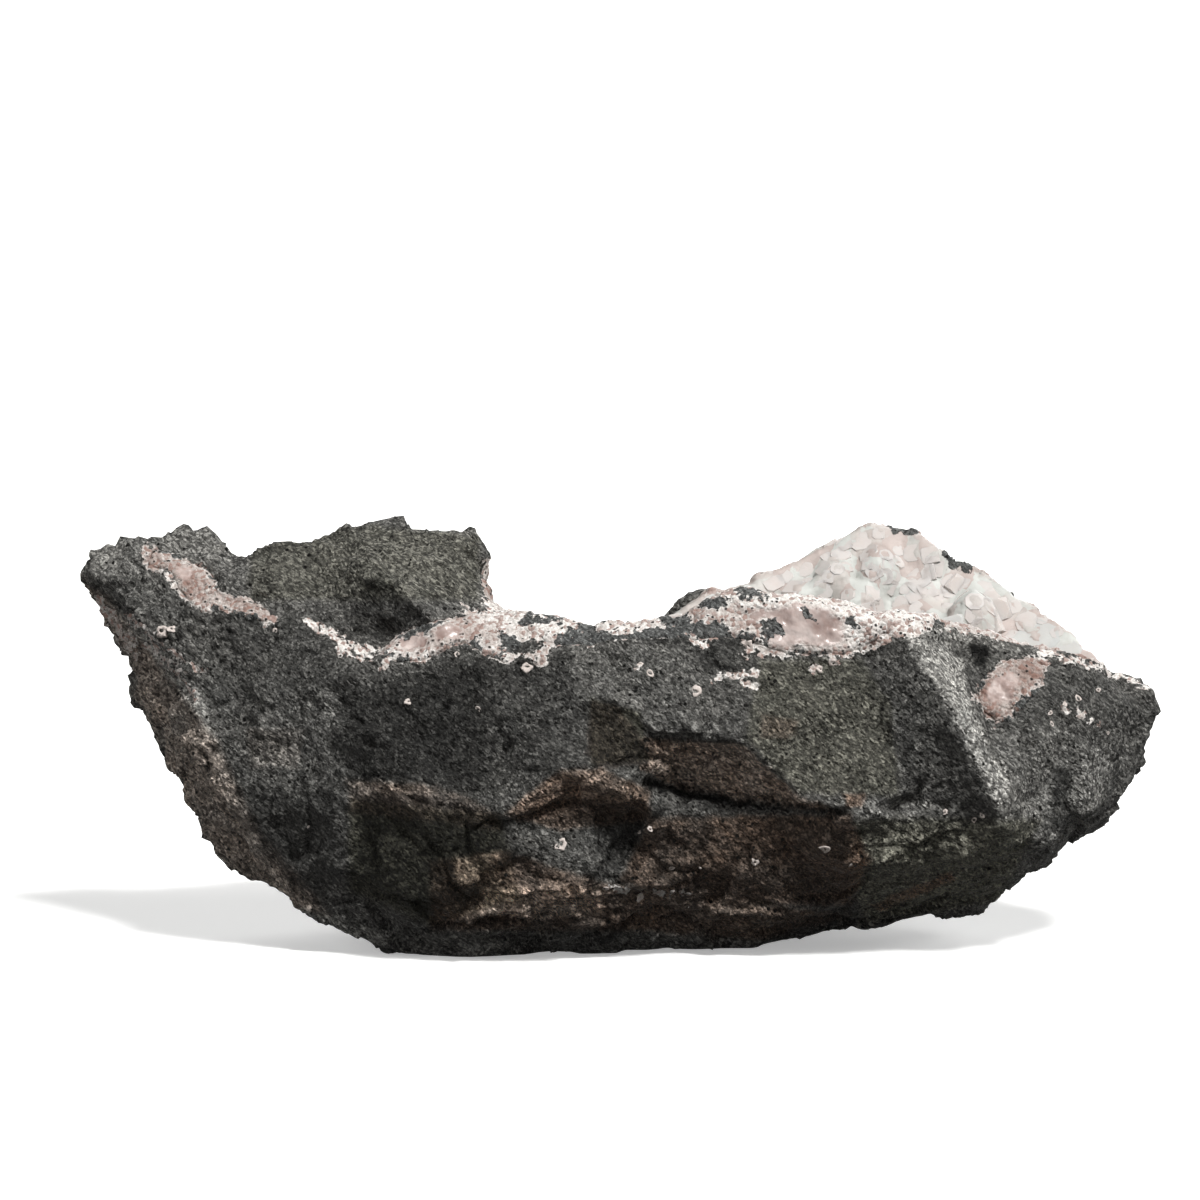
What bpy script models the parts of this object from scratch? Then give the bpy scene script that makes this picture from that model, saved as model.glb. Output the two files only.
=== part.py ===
"""Apophyllite geode: a broken block of basalt whose top hollow is lined with a crust of
pink zeolite and clear apophyllite crystals, with two small druses in its front.

Points are drawn in millimetres as (across, up, deep): across runs left to right, up is the
height and deep is how far back the point lies. The drawing leans back by LEAN, so the
finished block is turned by that angle before it is set down on its flat foot.
"""
import math
import random

import bmesh
import bpy
from mathutils import Matrix, Vector, noise
from mathutils.bvhtree import BVHTree
from mathutils.geometry import delaunay_2d_cdt

# Driving dimensions, in metres.
LENGTH = 0.434          # left tip to right tip
GAP = 0.0004            # clearance between a crust and the stone that carries it
CRUST = 0.0085          # thickness of the crystal crust before its crystals
DRUSE = 0.006           # thickness of the two small druses
BACK_GAP = 0.0012       # clearance behind a small druse
FOOT_CUT = 0.0045       # how much of the underside is flattened into the resting face
LEAN = math.radians(7)

DRAWN_LENGTH = 434.0    # millimetres between the same two tips in the drawing, worn round
UNIT = LENGTH / DRAWN_LENGTH
TURN = Matrix.Rotation(-LEAN, 3, "X")

# Surface relief of the broken stone.
REMESH_SIZE = 0.0042
CHIP_SIZE = 0.030       # width of one conchoidal chip
CHIP_TILT = 0.06        # slope of a chip's face against the block's
CHIP_STEP = 0.0007      # height of the step between two chips
BACK_ROUGHNESS = 2.0    # how much rougher the unseen back is than the front
BACK_START = 0.09       # how deep into the block the rougher relief starts
BACK_BLEND = 0.06       # and over what depth it reaches its full strength
LUMP_SIZE = 0.016
LUMP_HEIGHT = 0.0009
STONE_TRIANGLES = 3900

# The outline of the block seen from the front, clockwise from the left tip.
OUTLINE = [
    (-222, 157, 95), (-217, 168, 94), (-204, 169, 90), (-192, 171, 90), (-187, 175, 95),
    (-174, 174, 100), (-163, 175, 96), (-152, 163, 84), (-144, 166, 80), (-133, 169, 80),
    (-122, 170, 86), (-109, 176, 95), (-89, 176, 102), (-61, 174, 98), (-52, 167, 94),
    (-50, 155, 88), (-51, 141, 60), (-36, 139, 40), (-8, 140, 35), (12, 142, 38),
    (28, 147, 44), (38, 151, 42), (44, 154, 138), (54, 157, 149), (66, 161, 153), (81, 167, 156),
    (95, 174, 159), (107, 179, 160), (118, 175, 158), (136, 165, 150), (156, 152, 140),
    (178, 137, 124), (195, 121, 106), (215, 114, 90), (217, 98, 90), (212, 86, 90), (208, 73, 90),
    (198, 57, 90), (184, 49, 92), (174, 39, 95), (155, 21, 100), (128, 17, 104),
    (101, 11, 100), (94, 15, 96), (73, 11, 90), (54, 5, 80), (28, 5, 75), (4, 3, 70),
    (-24, 4, 65), (-62, 0, 60), (-90, 4, 62), (-108, 11, 65), (-127, 20, 75),
    (-137, 29, 80), (-149, 31, 88), (-165, 41, 95), (-174, 67, 100), (-189, 93, 105),
    (-198, 105, 105), (-200, 117, 108), (-212, 138, 104),
]

# Ridges and valleys of the broken front, each a line of points.
FRONT_LINES = {
    "end ridge": [
        (-198, 148, 74), (-180, 130, 60), (-170, 110, 54), (-166, 95, 50), (-159, 73, 50),
        (-144, 54, 50), (-134, 40, 54), (-116, 20, 56),
    ],
    "end face": [(-190, 122, 84), (-178, 92, 78), (-166, 62, 74), (-142, 38, 70)],
    "prong brow": [(-198, 148, 74), (-183, 162, 80), (-167, 160, 78), (-151, 159, 74)],
    "prong foot": [(-180, 130, 60), (-166, 141, 58), (-160, 150, 64), (-151, 159, 74)],
    "block left ledge": [(-145, 158, 68), (-137, 154, 60), (-128, 143, 52), (-124, 130, 46)],
    "block crest": [(-118, 166, 80), (-108, 168, 78), (-98, 163, 62), (-102, 156, 52)],
    "block brow": [(-102, 156, 52), (-90, 151, 46), (-73, 135, 34), (-56, 134, 36)],
    "block right face": [(-68, 166, 74), (-73, 150, 54), (-62, 140, 44)],
    "block hollow": [(-114, 138, 58), (-94, 131, 54), (-78, 133, 43)],
    "centre ridge": [
        (-76, 121, 27), (-94, 122, 30), (-106, 114, 29), (-124, 110, 35), (-139, 92, 42),
    ],
    "left rough": [(-118, 90, 33), (-128, 70, 38), (-112, 50, 36)],
    "crust rim": [
        (33, 146, 33), (45, 151, 31), (60, 148, 26), (72, 146, 24), (92, 142, 24),
        (106, 137, 27), (114, 136, 31),
    ],
    "seam line": [
        (-70, 119, 26), (-28, 124, 19), (2, 130, 21), (32, 134, 24), (56, 128, 22),
        (92, 126, 25), (108, 131, 28),
    ],
    "right rim": [
        (114, 136, 31), (132, 135, 46), (152, 131, 58), (172, 125, 66), (192, 119, 74),
    ],
    "shoulder ridge": [
        (114, 136, 31), (117, 126, 26), (127, 112, 19), (133, 99, 15), (143, 81, 15),
        (149, 71, 19), (154, 55, 31),
    ],
    "shoulder foot": [(129, 128, 48), (138, 113, 45), (146, 94, 38), (152, 79, 29)],
    "right bulge": [(170, 112, 48), (160, 84, 36), (190, 100, 62), (206, 102, 76)],
    "right chip": [(173, 82, 49), (174, 58, 50)],
    "right cheek": [(183, 84, 48), (189, 60, 58)],
    "right keel": [(154, 55, 31), (172, 52, 46)],
    "front swell": [
        (-60, 98, 19), (-30, 106, 14), (-12, 105, 12), (2, 104, 12), (16, 95, 11),
        (32, 94, 9), (49, 92, 8), (60, 80, 8), (72, 68, 9), (90, 61, 13),
    ],
    "shoulder flank": [(92, 110, 21), (106, 92, 23), (120, 72, 23), (132, 60, 26)],
    "overhang": [(-2, 80, 14), (24, 71, 35), (48, 64, 34), (70, 62, 27), (90, 61, 13)],
    "under overhang": [(26, 62, 29), (52, 58, 26), (84, 53, 21)],
    "belly ridge": [
        (-105, 62, 27), (-88, 68, 20), (-56, 62, 13), (-48, 60, 13), (-24, 77, 8),
        (-8, 76, 8), (12, 63, 15),
    ],
    "belly hollow": [(-30, 58, 20), (-6, 60, 26), (6, 54, 33), (12, 46, 34)],
    "keel ledge": [
        (-110, 32, 42), (-68, 33, 27), (-46, 35, 20), (-24, 32, 20), (10, 33, 34),
        (40, 36, 36),
    ],
    "lower right": [(92, 40, 33), (134, 42, 37), (160, 46, 52)],
    "keel gap": [
        (-80, 16, 44), (-48, 18, 40), (-20, 15, 46), (14, 18, 54), (52, 18, 54), (90, 24, 58),
    ],
}

# The unseen back, in the same way. It falls from the rear lip of the hollow to the foot.
BACK_LINES = {
    "prong back": [(-213, 163, 99), (-194, 152, 120), (-174, 160, 128), (-159, 152, 120)],
    "left back": [(-190, 111, 128), (-172, 72, 134), (-145, 38, 118)],
    "block back": [(-135, 156, 128), (-107, 164, 142), (-72, 160, 138), (-59, 146, 130)],
    "rear lip": [
        (-51, 132, 128), (-29, 123, 142), (0, 121, 154), (34, 140, 162), (65, 152, 170),
        (100, 161, 174), (135, 146, 166), (171, 123, 146), (194, 107, 122),
    ],
    "upper back": [
        (-154, 117, 152), (-116, 121, 168), (-68, 107, 172), (-20, 96, 182), (38, 102, 190),
        (88, 115, 194), (140, 98, 180), (181, 84, 146),
    ],
    "waist": [
        (-144, 74, 154), (-99, 75, 178), (-41, 58, 190), (25, 62, 198), (92, 69, 194),
        (145, 55, 170), (184, 60, 130),
    ],
    "haunch": [(-121, 37, 140), (-72, 32, 166), (-8, 30, 176), (65, 32, 174), (122, 35, 152)],
    "foot edge": [(-92, 9, 98), (-65, 8, 122), (-6, 9, 132), (49, 11, 128), (88, 20, 122)],
}

# The mouth of the hollow, clockwise from above: across, up and deep of the crust's outer
# face, then the crust's thickness there. Where it runs outside the block, the crust shows
# in the broken front. The stone stands proud of the crust in two notches of the rear lip.
MOUTH = [
    (-50, 142, 36, 20), (-34, 139, 18, 20), (-10, 141, 15, 20), (20, 143, 14, 22),
    (43, 149, 12, 26), (69, 145, 9, 30), (92, 141, 13, 26), (111, 139, 30, 12),
    (127, 140, 46, 8), (147, 137, 56, 8), (170, 129, 67, 7), (193, 123, 78, 7),
    (208, 118, 92, 7), (199, 125, 108, 7), (180, 142, 127, 7), (158, 157, 143, 8),
    (149, 165, 150, 8), (139, 164, 145, 8), (132, 169, 150, 8), (126, 175, 158, 8),
    (116, 179, 158, 8), (107, 183, 163, 8), (81, 172, 160, 8), (62, 163, 156, 8),
    (41, 150, 152, 9), (21, 138, 148, 9), (0, 129, 144, 9), (-26, 127, 136, 9),
    (-47, 132, 120, 9), (-51, 142, 96, 9), (-50, 146, 62, 12),
]
HOLLOW_CENTRE = (62, 92)      # across, deep
HOLLOW_FLOOR = 86             # up
HOLLOW_POWER = 2.1            # the bowl's profile: 2 is a parabola
HOLLOW_RINGS = 6
HEADROOM = 120                # the cutters rise this far above the mouth
WAVE_SIZE = 0.045             # the bowl's uneven shape
WAVE_HEIGHT = 0.003
BUMP_SIZE = 0.012             # the crust's own unevenness, between its crystals
BUMP_HEIGHT = 1.5             # in drawn millimetres

# Apophyllite crystals: square prisms with cut corners, standing out of the crust.
CRYSTAL_COUNT = 46
CRYSTAL_WIDTH = (0.009, 0.020)
CRYSTAL_SINK = 0.34           # share of its width that a crystal stands in the crust
CRYSTAL_SPACING = 0.43        # of the widths of two neighbours, put together
CRYSTAL_MARGIN = 0.75         # of its width between a crystal and the block's own faces
CRYSTAL_LEAN = 0.6
CRYSTAL_SEED = 12

# Outlines of the small druses as (across, up). The seam is a tongue of the crust that
# runs on under the left block.
SEAM = [
    (-95, 125), (-90, 130), (-84, 134), (-74, 137), (-62, 138), (-52, 140), (-42, 141),
    (-40, 128), (-45, 121), (-53, 124), (-61, 129), (-69, 127), (-77, 122), (-88, 121),
]
DRUSES = {
    "right_druse": [
        (142, 109), (144, 114), (149, 119), (156, 122), (166, 122), (170, 119), (168, 114),
        (165, 108), (159, 102), (154, 97), (149, 98), (144, 103),
    ],
    "left_druse": [
        (-190, 160), (-188, 166), (-179, 164), (-172, 160), (-166, 158), (-161, 153),
        (-161, 148), (-150, 147), (-145, 143), (-140, 141), (-140, 137), (-148, 138),
        (-155, 141), (-160, 142), (-166, 140), (-172, 145), (-177, 151), (-180, 157),
    ],
}
DRUSE_REACH = (-40, 105)      # deep: where the druses' prisms start and end


def spot(across, up, deep):
    """A drawn point as a position in metres, with the drawing's lean taken off."""
    return TURN @ Vector((across, deep, up)) * UNIT


def sheet(bm, lines, outline_verts):
    """Triangles between the outline and one side's lines, kept in the drawn plane."""
    flat = [Vector((a, u)) for a, u, _ in OUTLINE]
    deep = [d for _, _, d in OUTLINE]
    edges = []
    known = {}
    for line in lines.values():
        marks = []
        for across, up, depth in line:
            if (across, up) not in known:
                known[across, up] = len(flat)
                flat.append(Vector((across, up)))
                deep.append(depth)
            marks.append(known[across, up])
        edges += zip(marks, marks[1:])
    ring = list(range(len(OUTLINE)))
    found, _, faces, origin, _, _ = delaunay_2d_cdt(flat, edges, [ring], 1, 1e-5)
    verts = []
    for place, sources in zip(found, origin):
        if sources and sources[0] < len(OUTLINE):
            verts.append(outline_verts[sources[0]])
        else:
            verts.append(bm.verts.new(spot(place.x, place.y, deep[sources[0]])))
    for face in faces:
        bm.faces.new([verts[i] for i in face])


def mesh_object(name, bm):
    """A linked object that holds the bmesh in triangles. The bmesh is freed."""
    bmesh.ops.triangulate(bm, faces=bm.faces[:])
    mesh = bpy.data.meshes.new(name)
    bm.to_mesh(mesh)
    bm.free()
    obj = bpy.data.objects.new(name, mesh)
    bpy.context.scene.collection.objects.link(obj)
    return obj


def settle(obj):
    """Applies the object's modifiers to its mesh."""
    bpy.context.view_layer.update()
    graph = bpy.context.evaluated_depsgraph_get()
    shaped = bpy.data.meshes.new_from_object(obj.evaluated_get(graph))
    obj.modifiers.clear()
    obj.data = shaped


def boolean(obj, other, operation, self_touching=False):
    """Cuts, joins or limits the object with another. Crystals that cross need self_touching."""
    cut = obj.modifiers.new(operation.lower(), "BOOLEAN")
    cut.operation = operation
    cut.object = other
    cut.solver = "EXACT"
    cut.use_self = self_touching
    settle(obj)


def copy_of(obj, name, shift=None):
    """A linked copy with its own mesh, moved by shift where one is given."""
    twin = bpy.data.objects.new(name, obj.data.copy())
    bpy.context.scene.collection.objects.link(twin)
    if shift:
        twin.data.transform(Matrix.Translation(shift))
    return twin


def chip_relief(place):
    """Height of the hackly surface there: flat chips that step against each other.

    Each chip is one Voronoi cell. Its tilt and its step are drawn from noise at the cell's
    own point, scaled by two unlike numbers so that they don't follow each other.
    """
    back = min(max((place.y - BACK_START) / BACK_BLEND, 0), 1)
    strength = 1 + (BACK_ROUGHNESS - 1) * back
    cell = noise.voronoi(place / CHIP_SIZE)[1][0]
    tilt = noise.cell_vector(cell * 7.3) - Vector((0.5, 0.5, 0.5))
    slope = (place / CHIP_SIZE - cell).dot(tilt) * CHIP_TILT * CHIP_SIZE
    step = (noise.cell(cell * 3.1) - 0.5) * CHIP_STEP * 2
    lumps = noise.fractal(place / LUMP_SIZE, 0.9, 2.0, 3) * LUMP_HEIGHT
    return (slope + step + lumps) * strength


def stone_block():
    """The whole block before the hollow: front and back sheets, then broken relief."""
    bm = bmesh.new()
    outline_verts = [bm.verts.new(spot(*point)) for point in OUTLINE]
    sheet(bm, FRONT_LINES, outline_verts)
    sheet(bm, BACK_LINES, outline_verts)
    bmesh.ops.recalc_face_normals(bm, faces=bm.faces)
    block = mesh_object("block", bm)
    remesh = block.modifiers.new("remesh", "REMESH")
    remesh.mode = "VOXEL"
    remesh.voxel_size = REMESH_SIZE
    settle(block)
    moved = [v.co + v.normal * chip_relief(v.co) for v in block.data.vertices]
    for vertex, place in zip(block.data.vertices, moved):
        vertex.co = place
    decimate = block.modifiers.new("decimate", "DECIMATE")
    block.data.calc_loop_triangles()
    decimate.ratio = STONE_TRIANGLES / len(block.data.loop_triangles)
    settle(block)
    return block


def bowl(name, inset, bumps=0.0):
    """A solid that fills the hollow and the air above it, shrunk by inset metres.

    An inset of None takes the crust's own thickness off all round. The diagonals run the
    same way for every inset, so that a smaller bowl never crosses a larger one.
    """
    centre_across, centre_deep = HOLLOW_CENTRE
    floor = HOLLOW_FLOOR + (CRUST if inset is None else inset) / UNIT
    bm = bmesh.new()
    rings = []
    for k in range(HOLLOW_RINGS + 1):
        share = 1 - k / (HOLLOW_RINGS + 0.5)
        ring = []
        for across, up, deep, thickness in MOUTH:
            away = Vector((across - centre_across, deep - centre_deep))
            wall = thickness if inset is None else inset / UNIT
            away *= share * (1 - wall / away.length)
            rise = max(up - floor, 1) * share ** HOLLOW_POWER
            place = spot(centre_across + away.x, floor + rise, centre_deep + away.y)
            place += noise.noise_vector(place / WAVE_SIZE) * WAVE_HEIGHT * (1 - share ** 4)
            ring.append(bm.verts.new(place + spot(0, bumps * noise.noise(place / BUMP_SIZE), 0)))
        rings.append(ring)
    bottom = bm.verts.new(sum((v.co for v in rings[-1]), Vector()) / len(MOUTH))
    for i in range(len(MOUTH)):
        for outer, inner in zip(rings, rings[1:]):
            bm.faces.new((outer[i - 1], outer[i], inner[i]))
            bm.faces.new((outer[i - 1], inner[i], inner[i - 1]))
        bm.faces.new((rings[-1][i - 1], rings[-1][i], bottom))
    top = bmesh.ops.extrude_edge_only(bm, edges=[e for e in bm.edges if e.is_boundary])["geom"]
    top_verts = [v for v in top if isinstance(v, bmesh.types.BMVert)]
    bmesh.ops.translate(bm, verts=top_verts, vec=spot(0, HEADROOM, 0))
    bmesh.ops.contextual_create(bm, geom=[e for e in bm.edges if e.is_boundary])
    bmesh.ops.recalc_face_normals(bm, faces=bm.faces)
    return mesh_object(name, bm)


def crystal_mesh():
    """One apophyllite crystal, a unit wide: a prism whose corners its pyramid faces cut."""
    bm = bmesh.new()
    made = bmesh.ops.create_cube(bm, size=1)["verts"]
    top = [v for v in made if v.co.z > 0]
    bmesh.ops.bevel(
        bm, geom=top, offset=0.40, affect="VERTICES", segments=1, profile=0.5, material=-1
    )
    bmesh.ops.translate(bm, verts=bm.verts[:], vec=(0, 0, 0.5 - CRYSTAL_SINK))
    mesh = bpy.data.meshes.new("crystal")
    bm.to_mesh(mesh)
    bm.free()
    return mesh


def crystals(floor, block):
    """Crystals scattered over the hollow's inner face, none closer than their widths allow."""
    draw = random.Random(CRYSTAL_SEED)
    outside = BVHTree.FromObject(block, bpy.context.evaluated_depsgraph_get())
    faces = floor.data.polygons[:]
    areas = [face.area for face in faces]
    shape = crystal_mesh()
    bm = bmesh.new()
    placed = []
    while len(placed) < CRYSTAL_COUNT:
        width = draw.triangular(*CRYSTAL_WIDTH, CRYSTAL_WIDTH[0] * 1.4)
        lean = Vector([draw.uniform(-CRYSTAL_LEAN, CRYSTAL_LEAN) for _ in range(3)])
        turn = draw.uniform(0, math.pi / 2)
        face = draw.choices(faces, areas)[0]
        near, far = sorted((draw.random(), draw.random()))
        a, b, c = [floor.data.vertices[i].co for i in face.vertices]
        place = a * near + b * (far - near) + c * (1 - far)
        skin, skin_normal, _, _ = outside.find_nearest(place)
        if (skin - place).dot(skin_normal) < CRYSTAL_MARGIN * width:
            continue
        if any((place - p).length < (width + w) * CRYSTAL_SPACING for p, w in placed):
            continue
        start = len(bm.verts)
        bm.from_mesh(shape)
        bm.verts.ensure_lookup_table()
        axis = lean - face.normal
        stand = axis.to_track_quat("Z", "Y").to_matrix() @ Matrix.Rotation(turn, 3, "Z")
        matrix = Matrix.Translation(place) @ (stand * width).to_4x4()
        bmesh.ops.transform(bm, matrix=matrix, verts=bm.verts[start:])
        placed.append((place, width))
    return mesh_object("crystals", bm)


def drawn_in(outline, distance):
    """The clockwise outline with its sides moved in by distance millimetres."""
    ring = [Vector(corner) for corner in outline]
    moved = []
    for before, corner, after in zip(ring[-1:] + ring[:-1], ring, ring[1:] + ring[:1]):
        arrive = (corner - before).normalized()
        leave = (after - corner).normalized()
        inward = Vector((arrive.y + leave.y, -arrive.x - leave.x))
        moved.append(corner + inward * distance / (1 + arrive.dot(leave)))
    return moved


def prism(name, outline):
    """A prism with that outline through the block's front."""
    near, far = DRUSE_REACH
    bm = bmesh.new()
    front = bm.faces.new([bm.verts.new(spot(across, up, near)) for across, up in outline])
    made = bmesh.ops.extrude_face_region(bm, geom=[front])["geom"]
    back = [v for v in made if isinstance(v, bmesh.types.BMVert)]
    bmesh.ops.translate(bm, verts=back, vec=spot(0, 0, far - near))
    bmesh.ops.recalc_face_normals(bm, faces=bm.faces)
    return mesh_object(name, bm)


def inlay(matrix, block, name, outline):
    """A druse as thick as DRUSE, flush with the block's face, and its pocket in the stone."""
    pocket = prism("pocket", outline)
    behind = copy_of(block, "behind", spot(0, 0, (DRUSE + BACK_GAP) / UNIT))
    boolean(pocket, behind, "DIFFERENCE")
    boolean(matrix, pocket, "DIFFERENCE")
    druse = prism(name, drawn_in(outline, GAP / UNIT))
    behind.data.transform(Matrix.Translation(spot(0, 0, -BACK_GAP / UNIT)))
    boolean(druse, behind, "DIFFERENCE")
    boolean(druse, block, "INTERSECT")
    discard(pocket, behind)
    return druse


def keep_largest(obj):
    """Takes off the slivers that the cuts leave beside the main body."""
    bm = bmesh.new()
    bm.from_mesh(obj.data)
    loose = set(bm.faces)
    bodies = []
    while loose:
        body = [loose.pop()]
        for face in body:
            around = {other for edge in face.edges for other in edge.link_faces} & loose
            loose -= around
            body += around
        bodies.append(body)
    bodies.sort(key=len)
    spare = [face for body in bodies[:-1] for face in body]
    bmesh.ops.delete(bm, geom=spare, context="FACES")
    bm.to_mesh(obj.data)
    bm.free()


def flatten_foot(obj, height):
    """Cuts the underside off level, as the face that the block rests on."""
    bm = bmesh.new()
    bm.from_mesh(obj.data)
    cut = bmesh.ops.bisect_plane(
        bm, geom=bm.verts[:] + bm.edges[:] + bm.faces[:], plane_co=(0, 0, height),
        plane_no=(0, 0, -1), clear_outer=True,
    )["geom_cut"]
    bmesh.ops.contextual_create(bm, geom=[g for g in cut if isinstance(g, bmesh.types.BMEdge)])
    bmesh.ops.recalc_face_normals(bm, faces=bm.faces)
    bm.to_mesh(obj.data)
    bm.free()


def corners(objects):
    """The lowest and highest corner of the box round these objects."""
    points = [v.co for obj in objects for v in obj.data.vertices]
    return [Vector(pick(p[i] for p in points) for i in range(3)) for pick in (min, max)]


def seat_on_origin(objects):
    """Moves the pieces so that the origin is under the middle of the box round them."""
    low, high = corners(objects)
    shift = Vector((-(low.x + high.x) / 2, -(low.y + high.y) / 2, -low.z))
    for obj in objects:
        obj.data.transform(Matrix.Translation(shift))


def finish(obj, colour, roughness, metallic=0.0):
    """Gives the piece a material of its own."""
    material = bpy.data.materials.new(obj.name)
    material.use_nodes = True
    surface = material.node_tree.nodes["Principled BSDF"]
    surface.inputs["Base Color"].default_value = (*colour, 1)
    surface.inputs["Roughness"].default_value = roughness
    surface.inputs["Metallic"].default_value = metallic
    obj.data.materials.clear()
    obj.data.materials.append(material)


def discard(*objects):
    for obj in objects:
        bpy.data.objects.remove(obj)


def main():
    discard(*bpy.data.objects)
    block = stone_block()
    flatten_foot(block, corners([block])[0].z + FOOT_CUT)

    matrix = copy_of(block, "basalt_matrix")
    hollow = bowl("hollow", 0.0)
    boolean(matrix, hollow, "DIFFERENCE")

    crust_limit = bowl("crust limit", GAP)
    open_hollow = bowl("open hollow", None, BUMP_HEIGHT)
    crust = copy_of(block, "crystal_crust")
    boolean(crust, open_hollow, "DIFFERENCE")
    points = crystals(open_hollow, block)
    boolean(crust, points, "UNION", self_touching=True)
    boolean(crust, crust_limit, "INTERSECT")
    seam = inlay(matrix, block, "seam", SEAM)
    boolean(crust, seam, "UNION")
    keep_largest(crust)
    druses = [inlay(matrix, block, name, outline) for name, outline in DRUSES.items()]
    discard(block, hollow, crust_limit, open_hollow, points, seam)

    seat_on_origin([matrix, crust, *druses])
    finish(matrix, (0.050, 0.049, 0.046), 0.85)
    finish(crust, (0.72, 0.62, 0.58), 0.3)
    for druse in druses:
        finish(druse, (0.52, 0.38, 0.34), 0.6)


main()
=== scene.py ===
"""Apophyllite geode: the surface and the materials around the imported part.

Points are drawn in millimetres as (across, up, deep), leant back by LEAN and then set down
at SEAT, as the part's own are. What lies on the broken front is drawn on a chart: 1200 by
1200 steps of CHART_STEP, x to the right and y down, as the front looks from REACH away.
"""
import math
import random

import bmesh
import bpy
import numpy as np
from mathutils import Matrix, Vector, noise
from mathutils.bvhtree import BVHTree


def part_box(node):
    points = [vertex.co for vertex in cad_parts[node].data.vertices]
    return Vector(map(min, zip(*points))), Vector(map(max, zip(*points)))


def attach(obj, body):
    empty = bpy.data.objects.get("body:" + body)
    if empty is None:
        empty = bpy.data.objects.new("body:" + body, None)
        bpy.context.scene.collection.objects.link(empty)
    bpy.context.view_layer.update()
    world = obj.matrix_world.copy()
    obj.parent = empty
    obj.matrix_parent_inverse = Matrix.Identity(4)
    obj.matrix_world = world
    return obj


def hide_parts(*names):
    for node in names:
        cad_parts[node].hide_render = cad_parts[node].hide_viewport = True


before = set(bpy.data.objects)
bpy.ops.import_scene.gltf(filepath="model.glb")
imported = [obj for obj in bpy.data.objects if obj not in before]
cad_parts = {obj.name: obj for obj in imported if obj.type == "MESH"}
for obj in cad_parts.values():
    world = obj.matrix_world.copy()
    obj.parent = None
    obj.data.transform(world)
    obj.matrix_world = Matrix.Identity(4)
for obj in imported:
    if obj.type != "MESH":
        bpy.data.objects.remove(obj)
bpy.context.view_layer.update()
# Without a seed, noise_vector starts from the clock and each run gives other shapes.
noise.seed_set(4)

LEAN = math.radians(7)
TURN = Matrix.Rotation(-LEAN, 3, "X")
SEAT = Vector((0.00123, -0.11233, 0.00386))
MM = 0.001

CHART_STEP = 0.4         # millimetres to a step of the chart
CHART_STEPS = 1200       # steps across the chart
CHART_DEPTH = 60         # how deep the chart lies
CHART_ZERO = (620, 965)  # the step of the chart at across 0, up 0
MIDDLE = (-8, 146)       # across and up of the chart's middle
REACH = 3000             # how far in front of the chart it is seen from
FRONT_ENDS = (95, 110)   # how deep the drawn front fades out
WALL_STARTS = 92         # how deep the hollow's far wall starts

# How fine each piece's mesh is, in metres, and how many triangles it keeps.
STONE_VOXEL = 0.0013
STONE_TRIANGLES = 190000
CRUST_VOXEL = 0.0011
CRUST_TRIANGLES = 150000
DRUSE_VOXEL = 0.0006

# Flat chips of the stone's fracture, and the crust's facets: how wide, and how steep.
BROAD_CHIPS = (0.030, 0.26)
MIDDLE_CHIPS = (0.012, 0.40)
SMALL_CHIPS = (0.0052, 0.33)
BROAD_FACETS = (0.013, 0.13)
SMALL_FACETS = (0.007, 0.08)
CELL_SPREAD = 7.3        # sets the slopes of neighbouring chips apart

GRAIN = 0.0028           # the zeolite's own grains, across
COAT = 0.0007            # how proud of its CAD solid zeolite stands
ZEOLITE_FALL = 7         # steps of the chart in which zeolite's cover falls by 1
NEAR_CRUST = 0.0022      # and metres in which it falls round the crust's own solid
HALF = (0.5, 0.5, 0.5)


# ---------------------------------------------------------------- places

def spot(across, up, deep):
    """A drawn point as a place in metres."""
    return TURN @ Vector((across, deep, up)) * MM + SEAT


def chart_spot(x, y, deep=CHART_DEPTH):
    """The place that shows at that step of the chart and lies that deep."""
    wider = 1 + (deep - CHART_DEPTH) / REACH
    across = (x - CHART_ZERO[0]) * CHART_STEP
    up = (CHART_ZERO[1] - y) * CHART_STEP
    return spot(
        MIDDLE[0] + (across - MIDDLE[0]) * wider, MIDDLE[1] + (up - MIDDLE[1]) * wider, deep
    )


def drawn(places):
    """Places in metres as drawn millimetres, in the order across, deep, up."""
    return (places - np.array(SEAT)) @ np.array(TURN) / MM


def chart(places):
    """The step of the chart at which each place shows."""
    points = drawn(places)
    wider = 1 + (points[:, 1] - CHART_DEPTH) / REACH
    x = CHART_ZERO[0] + ((points[:, 0] - MIDDLE[0]) / wider + MIDDLE[0]) / CHART_STEP
    y = CHART_ZERO[1] - ((points[:, 2] - MIDDLE[1]) / wider + MIDDLE[1]) / CHART_STEP
    return np.stack([x, y], 1)


def ramp(value, low, high):
    """0 below low, 1 above high and smooth between them."""
    share = np.clip((value - low) / (high - low), 0, 1)
    return share * share * (3 - 2 * share)


def to_line(steps, line):
    """Each step's distance to the line, its side, and how far along it lies, of how much.

    The side is 1 right of the line and -1 left of it.
    """
    away = np.full(len(steps), 1e9)
    side = np.zeros(len(steps))
    along = np.zeros(len(steps))
    walked = 0.0
    for start, end in zip(line, line[1:]):
        start, run = np.array(start, float), np.array(end, float) - start
        length = math.hypot(*run)
        share = np.clip((steps - start) @ run / length ** 2, 0, 1)
        off = steps - start - share[:, None] * run
        distance = np.hypot(off[:, 0], off[:, 1])
        nearer = distance < away
        turn = run[0] * off[:, 1] - run[1] * off[:, 0]
        away = np.where(nearer, distance, away)
        side = np.where(nearer, np.sign(turn), side)
        along = np.where(nearer, walked + share * length, along)
        walked += length
    return away, side, along, walked


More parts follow.
